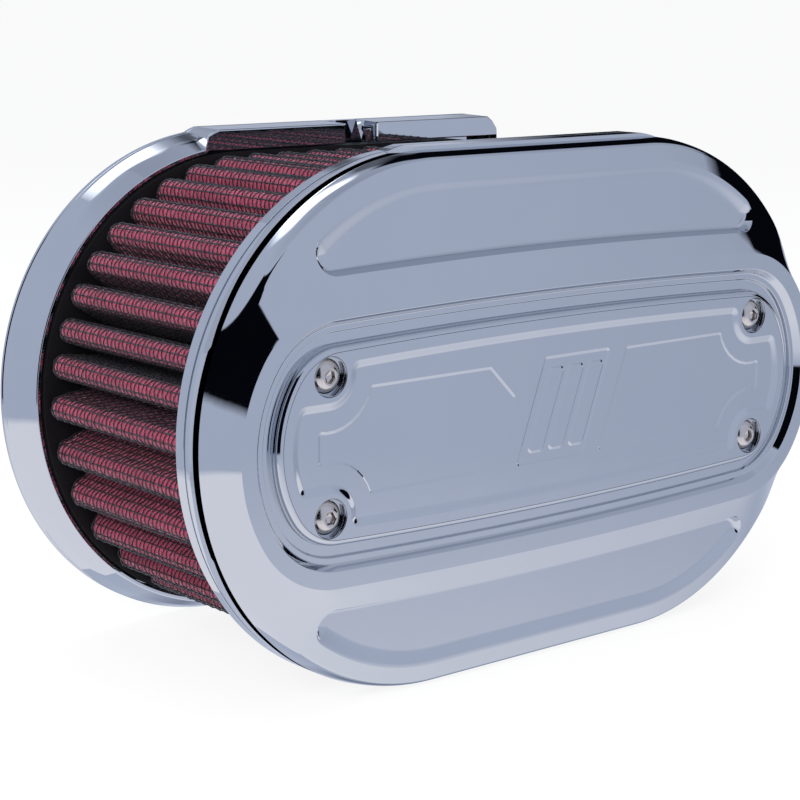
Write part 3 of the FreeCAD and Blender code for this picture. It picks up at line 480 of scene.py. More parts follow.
def scallop_spokes(level):
    """Outline of a scallop: rim arc, corners and bowed edge, inward offsets negative."""
    outer = END_R - SCALLOP_RIM
    bow_z = LIP_BOW_R - SCALLOP_EDGE
    corner = SCALLOP_CORNER
    cx, cz = RUN + outer / 2, SCALLOP_EDGE
    for _ in range(SETTLING_STEPS):
        cz = math.sqrt((LIP_BOW_R + corner) ** 2 - cx ** 2) - bow_z
        cx = RUN + math.sqrt((outer - corner) ** 2 - cz ** 2)
    bow_turn = math.atan2(cz + bow_z, cx)
    rim_turn = math.atan2(cz, cx - RUN)
    pi = HALF_TURN
    spokes = arc_spokes(RUN, 0, outer, rim_turn, QUARTER_TURN, 24)
    spokes += line_spokes(RUN, -RUN, 1, outer, 50)
    spokes += arc_spokes(-RUN, 0, outer, QUARTER_TURN, pi - rim_turn, 24)
    spokes += arc_spokes(-cx, cz, corner, pi - rim_turn, 2 * pi - bow_turn, 30)
    bow_count = 90
    for index in range(bow_count):
        turn = pi - bow_turn + (2 * bow_turn - pi) * index / bow_count
        spokes.append((0.0, -bow_z, -math.cos(turn), -math.sin(turn), -LIP_BOW_R))
    spokes += arc_spokes(cx, cz, corner, pi + bow_turn, 2 * pi + rim_turn, 30)
    if level < 0:
        spokes = [(x, -z, dx, -dz, base) for x, z, dx, dz, base in reversed(spokes)]
    return spokes


STEEP_FROM = 0.75
STEEP_OVER = 0.9
SCALLOP_REACH = SCALLOP_CORNER - 0.3
SCALLOP_STEPS = [0.0, 0.3, 0.7, 1.0, 1.15, 1.35, 1.6, 1.85, 2.1, 2.6, 3.2, 3.9, 4.6, SCALLOP_REACH]


def ease(value):
    value = min(max(value, 0.0), 1.0)
    return value * value * (3 - 2 * value)


def crisp_wall(inward):
    """Share of a wall's height left: a steep straight wall with a fillet at its foot."""
    straight, foot, left = 1.0, 2.0, 0.14
    if inward < straight:
        return 1.0 - (1.0 - left) * inward / straight
    return left * max((foot - inward) / (foot - straight), 0.0) ** 2


def add_scallop(shell, level):
    """Sunk crescent: steep on its inner edge, a soft hollow towards the rim, flat floor."""
    spokes = scallop_spokes(level)
    count = len(spokes)
    rings = []
    for inward in SCALLOP_STEPS:
        loop = []
        for spoke in spokes:
            x, z = spot(spoke, -inward)
            steep = ease((STEEP_FROM - spoke[3] * level) / STEEP_OVER)
            soft = max(1.0 - inward / SCALLOP_REACH, 0.0) ** 2
            drop = soft + (crisp_wall(inward) - soft) * steep
            loop.append(Vector((x, SCALLOP_FLOOR + (dome(x, z) - SCALLOP_FLOOR) * drop, z)))
        rings.append(loop)
    normals = []
    for depth_index, loop in enumerate(rings):
        row = []
        inner = rings[min(depth_index + 1, len(rings) - 1)]
        outer = rings[max(depth_index - 1, 0)]
        for index in range(count):
            along = loop[(index + 1) % count] - loop[index - 1]
            across = inner[index] - outer[index]
            normal = along.cross(across).normalized()
            row.append(normal if normal.y > 0 else -normal)
        normals.append(row)
    normals[-1] = [Vector((0.0, 1.0, 0.0))] * count
    rows = [[(tuple(point), tuple(normal)) for point, normal in zip(*both)]
            for both in zip(rings, normals)]
    for near, far in pairs(rows, False):
        shell.band(near, far)
    flat(shell, SCALLOP_FLOOR, [(point.x, point.z) for point in rings[-1]], [])
    return [(point.x, point.z) for point in rings[0]]


def add_dome(shell, wall_spokes, land_spokes):
    """Dome from the crease to the land, round the two scallops."""
    steps = [0.0, 0.07, 0.16, 0.27, 0.4, 0.55, 0.72, 0.92, 1.14, 1.4, 1.7, 2.0, 2.4, 3.1, EDGE_ZONE]
    rows = [[dome_corner(*place) for place in ring(wall_spokes, -inward)] for inward in steps]
    for near, far in pairs(rows, False):
        shell.band(near, far)
    outer = ring(wall_spokes, -EDGE_ZONE)
    inner = ring(land_spokes, LAND)
    scallops = [add_scallop(shell, level) for level in (1, -1)]
    loose = dome_scatter(scallops)
    _, found, faces, _ = triangulate([outer, inner] + scallops, loose)
    for face in faces:
        spots = [found[index] for index in face]
        middle = sum(spots, Vector((0.0, 0.0))) / 3
        if on_dome(middle.x, middle.y, scallops):
            shell.face([dome_corner(point.x, point.y) for point in spots])


def inside_loop(x, z, loop):
    """Even-odd test of a point against a closed loop."""
    inside = False
    x0, z0 = loop[-1]
    for x1, z1 in loop:
        if (z1 > z) != (z0 > z) and x < (x0 - x1) * (z - z1) / (z0 - z1) + x1:
            inside = not inside
        x0, z0 = x1, z1
    return inside


def on_dome(x, z, scallops):
    if inside_wall(x, z) <= EDGE_ZONE or outside_lip(x, z) <= LAND:
        return False
    return not any(inside_loop(x, z, loop) for loop in scallops)


def dome_scatter(scallops):
    """Even grid of points on the gentle part of the dome, clear of its borders."""
    pitch = 1.7
    margin = 0.6
    grown = []
    for loop in scallops:
        cx = sum(point[0] for point in loop) / len(loop)
        cz = sum(point[1] for point in loop) / len(loop)
        grown.append([(x + margin * math.copysign(1.0, x - cx),
                       z + margin * math.copysign(1.0, z - cz)) for x, z in loop])
    points = []
    for row in range(int(2 * END_R / pitch)):
        z = -END_R + (row + 0.5) * pitch
        for column in range(int(2 * (END_R + RUN) / pitch)):
            x = -(END_R + RUN) + (column + 0.5 + 0.5 * (row % 2)) * pitch
            if inside_wall(x, z) < EDGE_ZONE + margin or outside_lip(x, z) < LAND + margin:
                continue
            if not any(inside_loop(x, z, loop) for loop in grown):
                points.append((x, z))
    return points


# ------------------------------------------------------------- cover, insert and screws


def padded(spokes, centre, flat_half, slope, top):
    """The same spokes with a low flat pad on top of the outline."""
    changed = []
    for spoke in spokes:
        x, z = spot(spoke)
        reach = abs(x - centre) - flat_half
        if z > 0 and reach < slope:
            rise = top if reach <= 0 else top + (z - top) * reach / slope
            spoke = (x, 0.0, 0.0, 1.0, rise)
        changed.append(spoke)
    return changed


def make_cover():
    shell = Shell()
    plain = stadium_spokes(END_R, RUN, 56, 120)
    outer = padded(plain, 0.0, COVER_PAD_FLAT, COVER_PAD_SLOPE, COVER.top)
    land = bowed_spokes()
    sweep(shell, outer, profile([
        (-WALL, COVER.back), (0.0, COVER.back, REAR_ROUND), (0.0, GROOVE_BACK, 0.12),
        (-GROOVE_CUT, GROOVE_BACK), (-GROOVE_CUT, GROOVE_FRONT), (0.0, GROOVE_FRONT, 0.12),
        (0.0, CREASE)], -1)[1:])
    flat_strip(shell, CREASE, ring(outer), ring(plain), 1.0)
    add_dome(shell, plain, land)
    sweep(shell, land, profile([
        (LAND, FACE), (0.0, FACE, 0.4), (-LIP_WALL, LEDGE, 0.5), (LEDGE_IN, LEDGE, 0.25),
        (LEDGE_IN - 0.3, FLOOR, 0.3), (SEAT_IN, FLOOR, 0.15), (SEAT_IN, SEAT)], 1))
    sweep(shell, plain, profile([(-WALL, COVER.back), (-WALL, HOLLOW)], 1))
    flat_strip(shell, COVER.back, ring(outer, -REAR_ROUND), ring(plain, -WALL), -1.0)
    screw_holes(shell, ring(land, SEAT_IN), ring(plain, -WALL))
    return shell.build("cover_shell")


def flat_strip(shell, depth, outer, inner, forward):
    """Flat strip between two outlines with matching points."""
    rows = [[((x, depth, z), (0.0, forward, 0.0)) for x, z in loop] for loop in (outer, inner)]
    shell.band(*rows)


def screw_holes(shell, seat_loop, hollow_loop):
    """Seat of the insert with its tapped holes, and the four cover screws' counterbores."""
    tap_r, tap_end = 2.5, 102.0
    sink_r, sink_end, hole_r = 5.6, 103.8, 3.3
    seat_holes, back_holes = [], []
    for side, level in CORNERS:
        bx, bz = side * BUTTON_SPAN, level * BUTTON_RISE
        px, pz = side * POST_SPAN, level * POST_RISE
        drilled(shell, bx, bz, [(tap_r, SEAT), (tap_r, tap_end)], 24, (tap_r, tap_end, 1.0))
        drilled(shell, px, pz, [(sink_r, SEAT), (sink_r, sink_end), (hole_r, sink_end),
                                (hole_r, HOLLOW)], 40)
        seat_holes += [circle(bx, bz, tap_r, 24),
                       circle(px, pz, sink_r, 40)]
        back_holes.append(circle(px, pz, hole_r, 40))
    flat(shell, SEAT, seat_loop, seat_holes)
    flat(shell, HOLLOW, hollow_loop, back_holes, -1.0)


INSERT_EDGE = 1.8
ENGRAVE_IN = 11.3
ENGRAVE_CUT = 0.7
ENGRAVE_WALL = 2.5
GUARD_R = 6.7
GUARD_CORNER = 3.2
PANEL_CUT = 0.2
PANEL_WALL = 1.0
PANEL_CORNER = PANEL_WALL + 0.3
PANEL_R = 14.5
PANEL_END = 87.3
PANEL_HIGH = 15.3
PANEL_LOW = -14.6


def facing(spokes, sign):
    """Points with normals as (x, z, inward normal); sign is 1 for an arc that bulges inward."""
    return [(*spot(spoke), sign * spoke[2], sign * spoke[3]) for spoke in spokes]


def engraving_loop():
    """Engraved outline as (x, z, inward normal) points, stepping round the four screws."""
    end_r = LIP_END_R - ENGRAVE_IN
    bow_r = LIP_BOW_R - ENGRAVE_IN
    sx, sz = BUTTON_SPAN, BUTTON_RISE
    guard, fillet = GUARD_R, GUARD_CORNER
    upper = (sx - guard - fillet, sz)
    for _ in range(SETTLING_STEPS):
        up = math.sqrt((bow_r - fillet) ** 2 - upper[0] ** 2) - BOW_Z
        across = sx - math.sqrt((guard + fillet) ** 2 - (up - sz) ** 2)
        upper = (across, up)
    low_z = sz - guard - fillet
    lower = (END_X + math.sqrt((end_r - fillet) ** 2 - low_z ** 2), low_z)
    bow_turn = math.atan2(upper[1] + BOW_Z, upper[0])
    guard_turn = math.atan2(upper[1] - sz, upper[0] - sx) % (2 * HALF_TURN)
    end_turn = math.atan2(lower[1], lower[0] - END_X)
    opposite = guard_turn - HALF_TURN
    opposite = opposite - 2 * HALF_TURN if opposite > HALF_TURN else opposite
    flat_count = 8
    quarter = facing(arc_spokes(END_X, 0.0, end_r, 0.0, end_turn, 12), -1.0)
    quarter += facing(arc_spokes(*lower, fillet, end_turn, QUARTER_TURN, 12), -1.0)
    quarter += [(lower[0] + (sx - lower[0]) * (index / flat_count), sz - guard, 0.0, -1.0)
                for index in range(flat_count)]
    quarter += facing(arc_spokes(sx, sz, guard, 3 * QUARTER_TURN, guard_turn, 20), 1.0)
    quarter += facing(arc_spokes(*upper, fillet, opposite, bow_turn, 12), -1.0)
    quarter += facing(arc_spokes(0.0, -BOW_Z, bow_r, bow_turn, QUARTER_TURN, 36), -1.0)
    loop = list(quarter)
    loop.append((0.0, LIP_HEIGHT - ENGRAVE_IN, 0.0, -1.0))
    loop += [(-x, z, -nx, nz) for x, z, nx, nz in reversed(quarter)]
    loop += [(-x, -z, -nx, -nz) for x, z, nx, nz in quarter[1:]]
    loop.append((0.0, ENGRAVE_IN - LIP_HEIGHT, 0.0, 1.0))
    loop += [(x, -z, nx, -nz) for x, z, nx, nz in reversed(quarter[1:])]
    return loop


def plan(loop):
    """The bare (x, z) points of a loop that carries normals."""
    return [(x, z) for x, z, nx, nz in loop]


def polygon_loop(corners, rounding, steps=5):
    """Polygon with rounded corners as (x, z, inward normal) points, anticlockwise."""
    area = 0.0
    for (x, z), (next_x, next_z) in pairs(corners):
        area += x * next_z - next_x * z
    if area < 0:
        corners = list(reversed(corners))
    loop = []
    count = len(corners)
    for index in range(count):
        here = Vector(corners[index])
        before = (here - Vector(corners[index - 1])).normalized()
        after = (Vector(corners[(index + 1) % count]) - here).normalized()
        turn = math.atan2(before.x * after.y - before.y * after.x, before.dot(after))
        reach = rounding * math.tan(abs(turn) / 2)
        for step in range(steps + 1):
            angle = turn * step / steps
            nx = -before.y * math.cos(angle) - before.x * math.sin(angle)
            nz = before.x * math.cos(angle) - before.y * math.sin(angle)
            sign = 1.0 if turn >= 0 else -1.0
            start = here - before * reach
            cx = start.x - before.y * rounding * sign
            cz = start.y + before.x * rounding * sign
            loop.append((cx - nx * rounding * sign, cz - nz * rounding * sign, nx, nz))
    return loop


def panel_loops():
    """Shallow panels: one on each side, with arcs round the screws and a slanted side."""
    panels = []
    for side in (-1, 1):
        sx, sz = BUTTON_SPAN, BUTTON_RISE
        corners = []
        for level in (-1, 1):
            line = PANEL_HIGH if level > 0 else -PANEL_LOW
            start = math.asin((sz - line) / PANEL_R)
            first = HALF_TURN + start
            last = 2 * HALF_TURN - math.acos((PANEL_END - sx) / PANEL_R)
            arc = []
            for step in range(9):
                turn = first + (last - first) * step / 8
                arc.append((sx + PANEL_R * math.cos(turn), level * (sz + PANEL_R * math.sin(turn))))
            corners += arc if level < 0 else list(reversed(arc))
        if side < 0:
            slant = [(26.0, PANEL_HIGH), (16.3, 5.6), (23.5, PANEL_LOW)]
        else:
            slant = [(27.6, PANEL_HIGH), (16.2, PANEL_LOW)]
        panels.append([(side * x, z) for x, z in corners + slant])
    return panels


EMBLEM_FOOT = (-16.5, 10.5)
EMBLEM_LOW, EMBLEM_HIGH = -15.0, 15.8
EMBLEM_LEAN = 11.0
BARS = [(-12.5, -7.5), (-4.5, 0.5), (3.5, 8.5)]
BAR_LOW, BAR_HIGH = -11.0, 11.8


def slanted(left, right, low, high):
    """Corners of a leaning panel, with its sides parallel to the emblem's."""
    rate = EMBLEM_LEAN / (EMBLEM_HIGH - EMBLEM_LOW)
    foot = rate * (low - EMBLEM_LOW)
    head = rate * (high - EMBLEM_LOW)
    return [(left + foot, low), (right + foot, low), (right + head, high), (left + head, high)]


def soft_step(shell, loop, top, cut, wall):
    """S-shaped wall going down by cut, on the inward side of a loop. Returns its foot."""
    steps = 8
    rows = []
    for step in range(steps + 1):
        share = step / steps
        reach = wall * share
        depth = top - cut * ease(share)
        slope = cut * 6 * share * (1 - share) / wall
        size = math.hypot(1.0, slope)
        lean, forward = slope / size, 1 / size
        rows.append([((x + nx * reach, depth, z + nz * reach), (nx * lean, forward, nz * lean))
                     for x, z, nx, nz in loop])
    for near, far in pairs(rows, False):
        shell.band(near, far)
    return [(x + nx * wall, z + nz * wall) for x, z, nx, nz in loop]


def make_insert():
    shell = Shell()
    outline = bowed_spokes()
    side = profile([
        (INSERT_IN, INSERT.back), (INSERT_IN, FACE, INSERT_EDGE), (INSERT_IN - 4.0, FACE)], -1, 12)
    side = side[:2]
    sweep(shell, outline, side)
    edge = side[-1][-1][0]
    engraving = engraving_loop()
    holes = [plan(engraving)]
    back_holes = []
    chamfer, clear_r = 0.25, 2.8
    for sign, level in CORNERS:
        cx, cz = sign * BUTTON_SPAN, level * BUTTON_RISE
        drilled(shell, cx, cz, [(SINK_R + chamfer, FACE), (SINK_R, FACE - chamfer),
                                (SINK_R, FACE - SINK_CUT), (clear_r, FACE - SINK_CUT),
                                (clear_r, INSERT.back)], 48)
        holes.append(circle(cx, cz, SINK_R + chamfer, 48))
        back_holes.append(circle(cx, cz, clear_r, 48))
    flat(shell, FACE, ring(outline, edge), holes)
    flat(shell, INSERT.back, ring(outline, INSERT_IN), back_holes, -1.0)
    pocket = FACE - ENGRAVE_CUT
    pocket_loop = soft_step(shell, engraving, FACE, ENGRAVE_CUT, ENGRAVE_WALL)
    floor_holes = []
    for corners in panel_loops():
        loop = polygon_loop(corners, PANEL_CORNER)
        foot = soft_step(shell, loop, pocket, PANEL_CUT, PANEL_WALL)
        flat(shell, pocket - PANEL_CUT, foot, [])
        floor_holes.append(plan(loop))
    floor_holes.append(add_emblem(shell, pocket))
    flat(shell, pocket, pocket_loop, floor_holes)
    return shell.build("insert_face")


def add_emblem(shell, pocket):
    """Generic leaning panel with three raised bars."""
    cut = 0.32
    loop = polygon_loop(slanted(*EMBLEM_FOOT, EMBLEM_LOW, EMBLEM_HIGH), PANEL_CORNER)
    foot = soft_step(shell, loop, pocket, cut, PANEL_WALL)
    bars = []
    for left, right in BARS:
        bar = polygon_loop(slanted(left, right, BAR_LOW, BAR_HIGH), 0.9)
        bar_foot = [(x, z, -nx, -nz) for x, z, nx, nz in bar]
        outward = soft_step(shell, bar_foot, pocket, cut, PANEL_WALL * 0.8)
        flat(shell, pocket, plan(bar), [])
        bars.append(outward)
    flat(shell, pocket - cut, foot, bars)
    return plan(loop)


def hexagon_r(turn, corner_r):
    """Radius of a hexagon in a direction."""
    sixth = HALF_TURN / 3
    off = (turn % sixth) - sixth / 2
    return corner_r * math.cos(sixth / 2) / math.cos(off)


def make_button(name, cx, cz, turn):
    """Button head socket screw, its hexagon turned by the given angle."""
    shell = Shell()
    count, bands = 72, 12
    head, seat = BUTTON_R, FACE - SINK_CUT
    low, top = BUTTON.back, BUTTON.front
    flat_r, edge, chamfer, rim_d = 2.35, 0.12, 0.6, seat + 0.55
    rise = top - rim_d
    centre_d = rim_d + (flat_r ** 2 + rise ** 2 - head ** 2) / (2 * rise)
    bulge = math.hypot(flat_r, top - centre_d)
    crown = []
    for index in range(bands + 1):
        radius = head - edge + (flat_r - head + edge) * index / bands
        depth = centre_d + math.sqrt(bulge ** 2 - radius ** 2)
        crown.append((radius, depth, radius / bulge, (depth - centre_d) / bulge))
    shank = BUTTON_R - 2.25
    rim_top = crown[0][1] - edge
    body = profile([(shank - chamfer, low), (shank, low + chamfer), (shank, seat), (head, seat),
                    (head, rim_top)], 1)
    body.append([(head, rim_top, 1.0, 0.0), (head - edge, *crown[0][1:])])
    spokes = circle_spokes(cx, cz, 0.0, count)
    sweep(shell, spokes, body + [crown])
    flat(shell, low, ring(spokes, shank - chamfer), [], -1.0)
    add_socket(shell, (cx, cz), turn, (flat_r, top), count)
    return shell.build(name)


def add_socket(shell, centre, turn, rim, count):
    """Hexagon socket with a small chamfer and a cone at its bottom; rim is (radius, depth)."""
    cx, cz = centre
    rim_r, top = rim
    corner_r, floor, chamfer, cone_depth, lean = 1.85, top - 1.7, 0.18, 0.6, 0.7
    sixth = HALF_TURN / 3
    for index in range(count):
        ends = [2 * HALF_TURN * step / count for step in (index, index + 1)]
        rows = []
        for angle in ends:
            wall_r = hexagon_r(angle + turn, corner_r)
            rows.append([(cx + r * math.cos(angle), cz + r * math.sin(angle))
                         for r in (rim_r, wall_r + chamfer, wall_r)])
        middle = (ends[0] + ends[1]) / 2
        face_turn = (math.floor((middle + turn) / sixth) + 0.5) * sixth - turn
        nx, nz = -math.cos(face_turn), -math.sin(face_turn)
        bands = [(0, top, 1, top, (0.0, 1.0, 0.0)),
                 (1, top, 2, top - chamfer, (nx * lean, lean, nz * lean)),
                 (2, top - chamfer, 2, floor, (nx, 0.0, nz))]
        for outer, near, inner, far, normal in bands:
            corners = ((0, outer, near), (1, outer, near), (1, inner, far), (0, inner, far))
            shell.facet([(rows[end][row][0], depth, rows[end][row][1])
                         for end, row, depth in corners], normal)
        cone = (-math.cos(middle) * 0.5, 0.87, -math.sin(middle) * 0.5)
        shell.facet([(rows[0][2][0], floor, rows[0][2][1]), (rows[1][2][0], floor, rows[1][2][1]),
                     (cx, floor - cone_depth, cz)], cone)


# ------------------------------------------------------------- backplate

PAD_CENTRE = 7.0
PAD_FLAT = 55.0
PAD_SLOPE = 4.0
NOTCH_HALF = 6.25
NOTCH_FLOOR = 69.0
NOTCH_DEPTH = 3.0
RIM_IN = 5.6
RIM_TAPER = 4.2
PAD_TAPER = 0.3
PLATE_FACE = POST.back + 4.8
BORE_R = RING.right - 6.0


def rim_profile(taper):
    """Rear band, fine bevel, gently crowned taper, rounded lip and inner wall."""
    band, bevel_run, crown, crown_r = 2.3, 0.25, 0.37, 20.0
    front = PLATE.front
    middle = (band + front) / 2
    bevel = 0.12 * min(taper, 1.0)
    notch_level = -bevel - 0.01
    return profile([
        (0.0, 0.0), (0.0, band), (-bevel, band + bevel_run), (notch_level, NOTCH_DEPTH),
        (-bevel - taper * crown, middle, crown_r),
        (-taper, front, 0.5), (-RIM_IN, front, 0.4), (-RIM_IN, PLATE_FACE)], -1, 8)


def make_backplate():
    shell = Shell()
    top_count = 84
    base = stadium_spokes(END_R, RUN, top_count, 120)
    raised = padded(base, PAD_CENTRE, PAD_FLAT, PAD_SLOPE, PLATE.top)
    on_pad = [abs(x - PAD_CENTRE) < PAD_FLAT + PAD_SLOPE and z > 0 for x, z in ring(base)]
    left_x, right_x = PAD_CENTRE - NOTCH_HALF, PAD_CENTRE + NOTCH_HALF
    start = min(i for i, (x, z) in enumerate(ring(base)) if on_pad[i] and x < left_x)
    stop = max(i for i, (x, z) in enumerate(ring(base[:top_count + 1])) if x > right_x)
    notch_left = (left_x, 0.0, 0.0, 1.0, PLATE.top)
    notch_right = (right_x, 0.0, 0.0, 1.0, PLATE.top)
    outer = [notch_left] + raised[start:] + raised[:stop + 1] + [notch_right]
    pads = [True] + on_pad[start:] + on_pad[:stop + 1] + [True]
    runs = []
    for spoke, pad in zip(outer, pads):
        sections = rim_profile(PAD_TAPER if pad else RIM_TAPER)
        raised_by = spoke[4] - END_R if pad else 0.0
        runs.append(sections[:-3] + [level_inside(run, raised_by) for run in sections[-3:]])
    sweep(shell, outer, runs, closed=False)
    finish_plate(shell, outer, runs, left_x, right_x)
    return shell.build("backplate_casting")


def level_inside(run, raised_by):
    """A run with its inner points moved back down from the pad to the plain outline."""
    middle = -RIM_IN / 2
    return [(offset - raised_by if offset < middle else offset, depth, out, forward)
            for offset, depth, out, forward in run]


def finish_plate(shell, outer, runs, left_x, right_x):
    """Flat faces, notch, bore, bolt holes and seal grooves."""
    inner = [spot(spoke, run[-1][-1][0]) for spoke, run in zip(outer, runs)]
    wall_z = inner[0][1]
    # Side walls of the notch follow the rim's own section.
    for end, side in ((0, 1.0), (-1, -1.0)):
        section = []
        for point in [(spot(outer[end], o)[1], d) for run in runs[end] for o, d, *normal in run]:
            if not section or math.dist(point, section[-1]) > 0.002:
                section.append(point)
        ledge = [p for p in section if p[1] < NOTCH_DEPTH + 0.001 and p[0] > wall_z + 1.0]
        cut = [p for p in section if p[1] > NOTCH_DEPTH - 0.001 or p[0] < wall_z + 0.01]
        polygon = cut + [(NOTCH_FLOOR, PLATE_FACE), (NOTCH_FLOOR, NOTCH_DEPTH)]
        for triangle in tessellate_polygon([[Vector((z, d, 0.0)) for z, d in polygon]]):
            shell.facet([(outer[end][0], polygon[i][1], polygon[i][0]) for i in triangle],
                        (side, 0.0, 0.0))
    up, forward = (0.0, 0.0, 1.0), (0.0, 1.0, 0.0)
    floor_edge, ledge_edge = (NOTCH_FLOOR, NOTCH_DEPTH), (ledge[-1][0], NOTCH_DEPTH)
    strips = [(floor_edge, (NOTCH_FLOOR, PLATE_FACE), up), (floor_edge, ledge_edge, forward)]
    strips += [(first, second, up) for first, second in zip(ledge, ledge[1:])]
    for (low, near), (high, far), normal in strips:
        shell.facet([(left_x, near, low), (right_x, near, low),
                     (right_x, far, high), (left_x, far, high)], normal)
    floor_loop = inner + [(right_x, NOTCH_FLOOR), (left_x, NOTCH_FLOOR)]
    back_holes, front_holes = plate_holes(shell)
    flat(shell, 0.0, ring(outer), back_holes, -1.0)
    flat(shell, PLATE_FACE, floor_loop, front_holes)


def plate_holes(shell):
    """Bore with its ring seat, bolt holes, breather holes, post holes and seal grooves."""
    play, groove_play, gasket_width = 0.1, 0.05, 5.0
    seat_r, seat_d = RING.right - 3.5, PLATE_FACE / 2
    drilled(shell, 0.0, 0.0, [(BORE_R, 0.0), (BORE_R, seat_d), (seat_r, seat_d),
                              (seat_r, PLATE_FACE)], 96)
    front_holes = [circle(0.0, 0.0, seat_r, 96)]
    gasket = (GASKET.right - gasket_width - play, GASKET.right + play, GASKET.front + groove_play)
    back_holes = [groove(shell, 0.0, 0.0, *gasket, 96, (BORE_R, 96))]
    bolt_r, circle_r = 3.3, 41.0
    for turn in (90.0, 210.0, 330.0):
        cx = circle_r * math.cos(math.radians(turn))
        cz = circle_r * math.sin(math.radians(turn))
        drilled(shell, cx, cz, [(bolt_r, 0.0), (bolt_r, PLATE_FACE)], 32)
        back_holes.append(circle(cx, cz, bolt_r, 32))
        front_holes.append(circle(cx, cz, bolt_r, 32))
    seal_x, seal_z = (SEAL.left + SEAL.right) / 2, (SEAL.bottom + SEAL.top) / 2
    hole_r, outer_r = 6.4, (SEAL.right - SEAL.left) / 2 + play
    seal = (outer_r - SEAL.front - 2 * play, outer_r, SEAL.front + groove_play)
    for side in (-1, 1):
        cx = side * seal_x
        drilled(shell, cx, seal_z, [(hole_r, 0.0), (hole_r, PLATE_FACE)], 40)
        back_holes.append(groove(shell, cx, seal_z, *seal, 48, (hole_r, 40)))
        front_holes.append(circle(cx, seal_z, hole_r, 40))
    stud_r, stud_d = 3.0, 0.9
    for side, level in CORNERS:
        px, pz = side * POST_SPAN, level * POST_RISE
        drilled(shell, px, pz, [(stud_r, PLATE_FACE), (stud_r, stud_d)], 32, (stud_r, stud_d, 1.0))
        front_holes.append(circle(px, pz, stud_r, 32))
    return back_holes, front_holes


def groove(shell, cx, cz, inner, outer, depth, count, hole):
    """Ring groove in the rear face, round a hole of (radius, points). Returns its outline."""
    sweep(shell, circle_spokes(cx, cz, 0.0, count),
          [[(outer, 0.0, -1.0, 0.0), (outer, depth, -1.0, 0.0)],
           [(outer, depth, 0.0, -1.0), (inner, depth, 0.0, -1.0)],
           [(inner, depth, 1.0, 0.0), (inner, 0.0, 1.0, 0.0)]])
    flat(shell, 0.0, circle(cx, cz, inner, count), [circle(cx, cz, *hole)], -1.0)
    return circle(cx, cz, outer, count)


# ------------------------------------------------------------- pleated element

TIP_R = MEDIA.top
PLEAT_DEPTH = 20.0
UPPER_PLEATS = 27
LOWER_PLEATS = 21
UPPER_PITCH = 11.1
SEAM_RUN = 185.3
RIDGE_R = 3.05
VALLEY_R = 0.9
GAUZE = 1.2
SCREEN_OFF = 0.5
ROUND_OFF = 4.0


def stadium_point(run, inset):
    """Point a distance along the line of pleat tips, set in by the given depth."""
    straight = 2 * RUN
    bend = HALF_TURN * TIP_R
    run = run % (2 * straight + 2 * bend)
    size = TIP_R - inset
    if run < straight:
        return (RUN - run, size)
    if run < straight + bend:
        turn = QUARTER_TURN + (run - straight) / TIP_R
        return (-RUN + size * math.cos(turn), size * math.sin(turn))
    if run < 2 * straight + bend:
        return (-RUN + (run - straight - bend), -size)
    turn = -QUARTER_TURN + (run - 2 * straight - bend) / TIP_R
    return (RUN + size * math.cos(turn), size * math.sin(turn))


def fold_section(pitch):
    """One fold as (along, inset) points: half a valley, flank, round ridge, flank, valley."""
    foot = pitch / 2 - VALLEY_R
    rise = PLEAT_DEPTH - RIDGE_R - VALLEY_R
    lean = math.atan2(foot - RIDGE_R, rise)
    right = []
    for step in range(9):
        turn = (QUARTER_TURN + lean) * step / 8
        right.append((RIDGE_R * math.sin(turn), RIDGE_R - RIDGE_R * math.cos(turn)))
    middle_run = 7
    last = right[-1]
    low = (pitch / 2 - VALLEY_R * math.cos(lean), PLEAT_DEPTH - VALLEY_R + VALLEY_R * math.sin(lean))
    for step in range(1, middle_run):
        share = step / middle_run
        right.append((last[0] + (low[0] - last[0]) * share, last[1] + (low[1] - last[1]) * share))
    for step in range(3):
        turn = lean + (QUARTER_TURN - lean) * step / 3
        right.append((pitch / 2 - VALLEY_R * math.cos(turn),
                      PLEAT_DEPTH - VALLEY_R + VALLEY_R * math.sin(turn)))
    left = [(-along, inset) for along, inset in reversed(right[1:])]
    return left + right + [(pitch / 2, PLEAT_DEPTH)]


def pleat_path():
    """Whole folded line as (x, z) points, round the element."""
    length = 4 * RUN + 2 * HALF_TURN * TIP_R
    upper = UPPER_PLEATS * UPPER_PITCH
    lower_pitch = (length - upper) / LOWER_PLEATS
    folds = [(SEAM_RUN - upper + (i + 0.5) * UPPER_PITCH, UPPER_PITCH) for i in range(UPPER_PLEATS)]
    folds += [(SEAM_RUN + (i + 0.5) * lower_pitch, lower_pitch) for i in range(LOWER_PLEATS)]
    points = []
    for middle, pitch in folds:
        points += [(middle + along, inset) for along, inset in fold_section(pitch)]
    return points


def shifted(path, grow, sink=0.0):
    """Closed (x, z) line: grow moves it outward from the gauze, sink lowers the ridges."""
    line = []
    for run, inset in path:
        drop = sink * max(1.0 - inset / PLEAT_DEPTH, 0.0)
        line.append(Vector(stadium_point(run, inset + drop)))
    count = len(line)
    moved = []
    for index in range(count):
        way = line[(index + 1) % count] - line[index - 1]
        normal = Vector((way.y, -way.x)).normalized()
        moved.append(line[index] + normal * grow)
    return moved


def round_off(depth):
    """How far the ridges are drawn in where they meet the rear cap."""
    gone = (depth - MEDIA.back) / ROUND_OFF
    if gone >= 1.0:
        return 0.0
    return RIDGE_R * (1.0 - math.sqrt(1.0 - (1.0 - gone) ** 2))


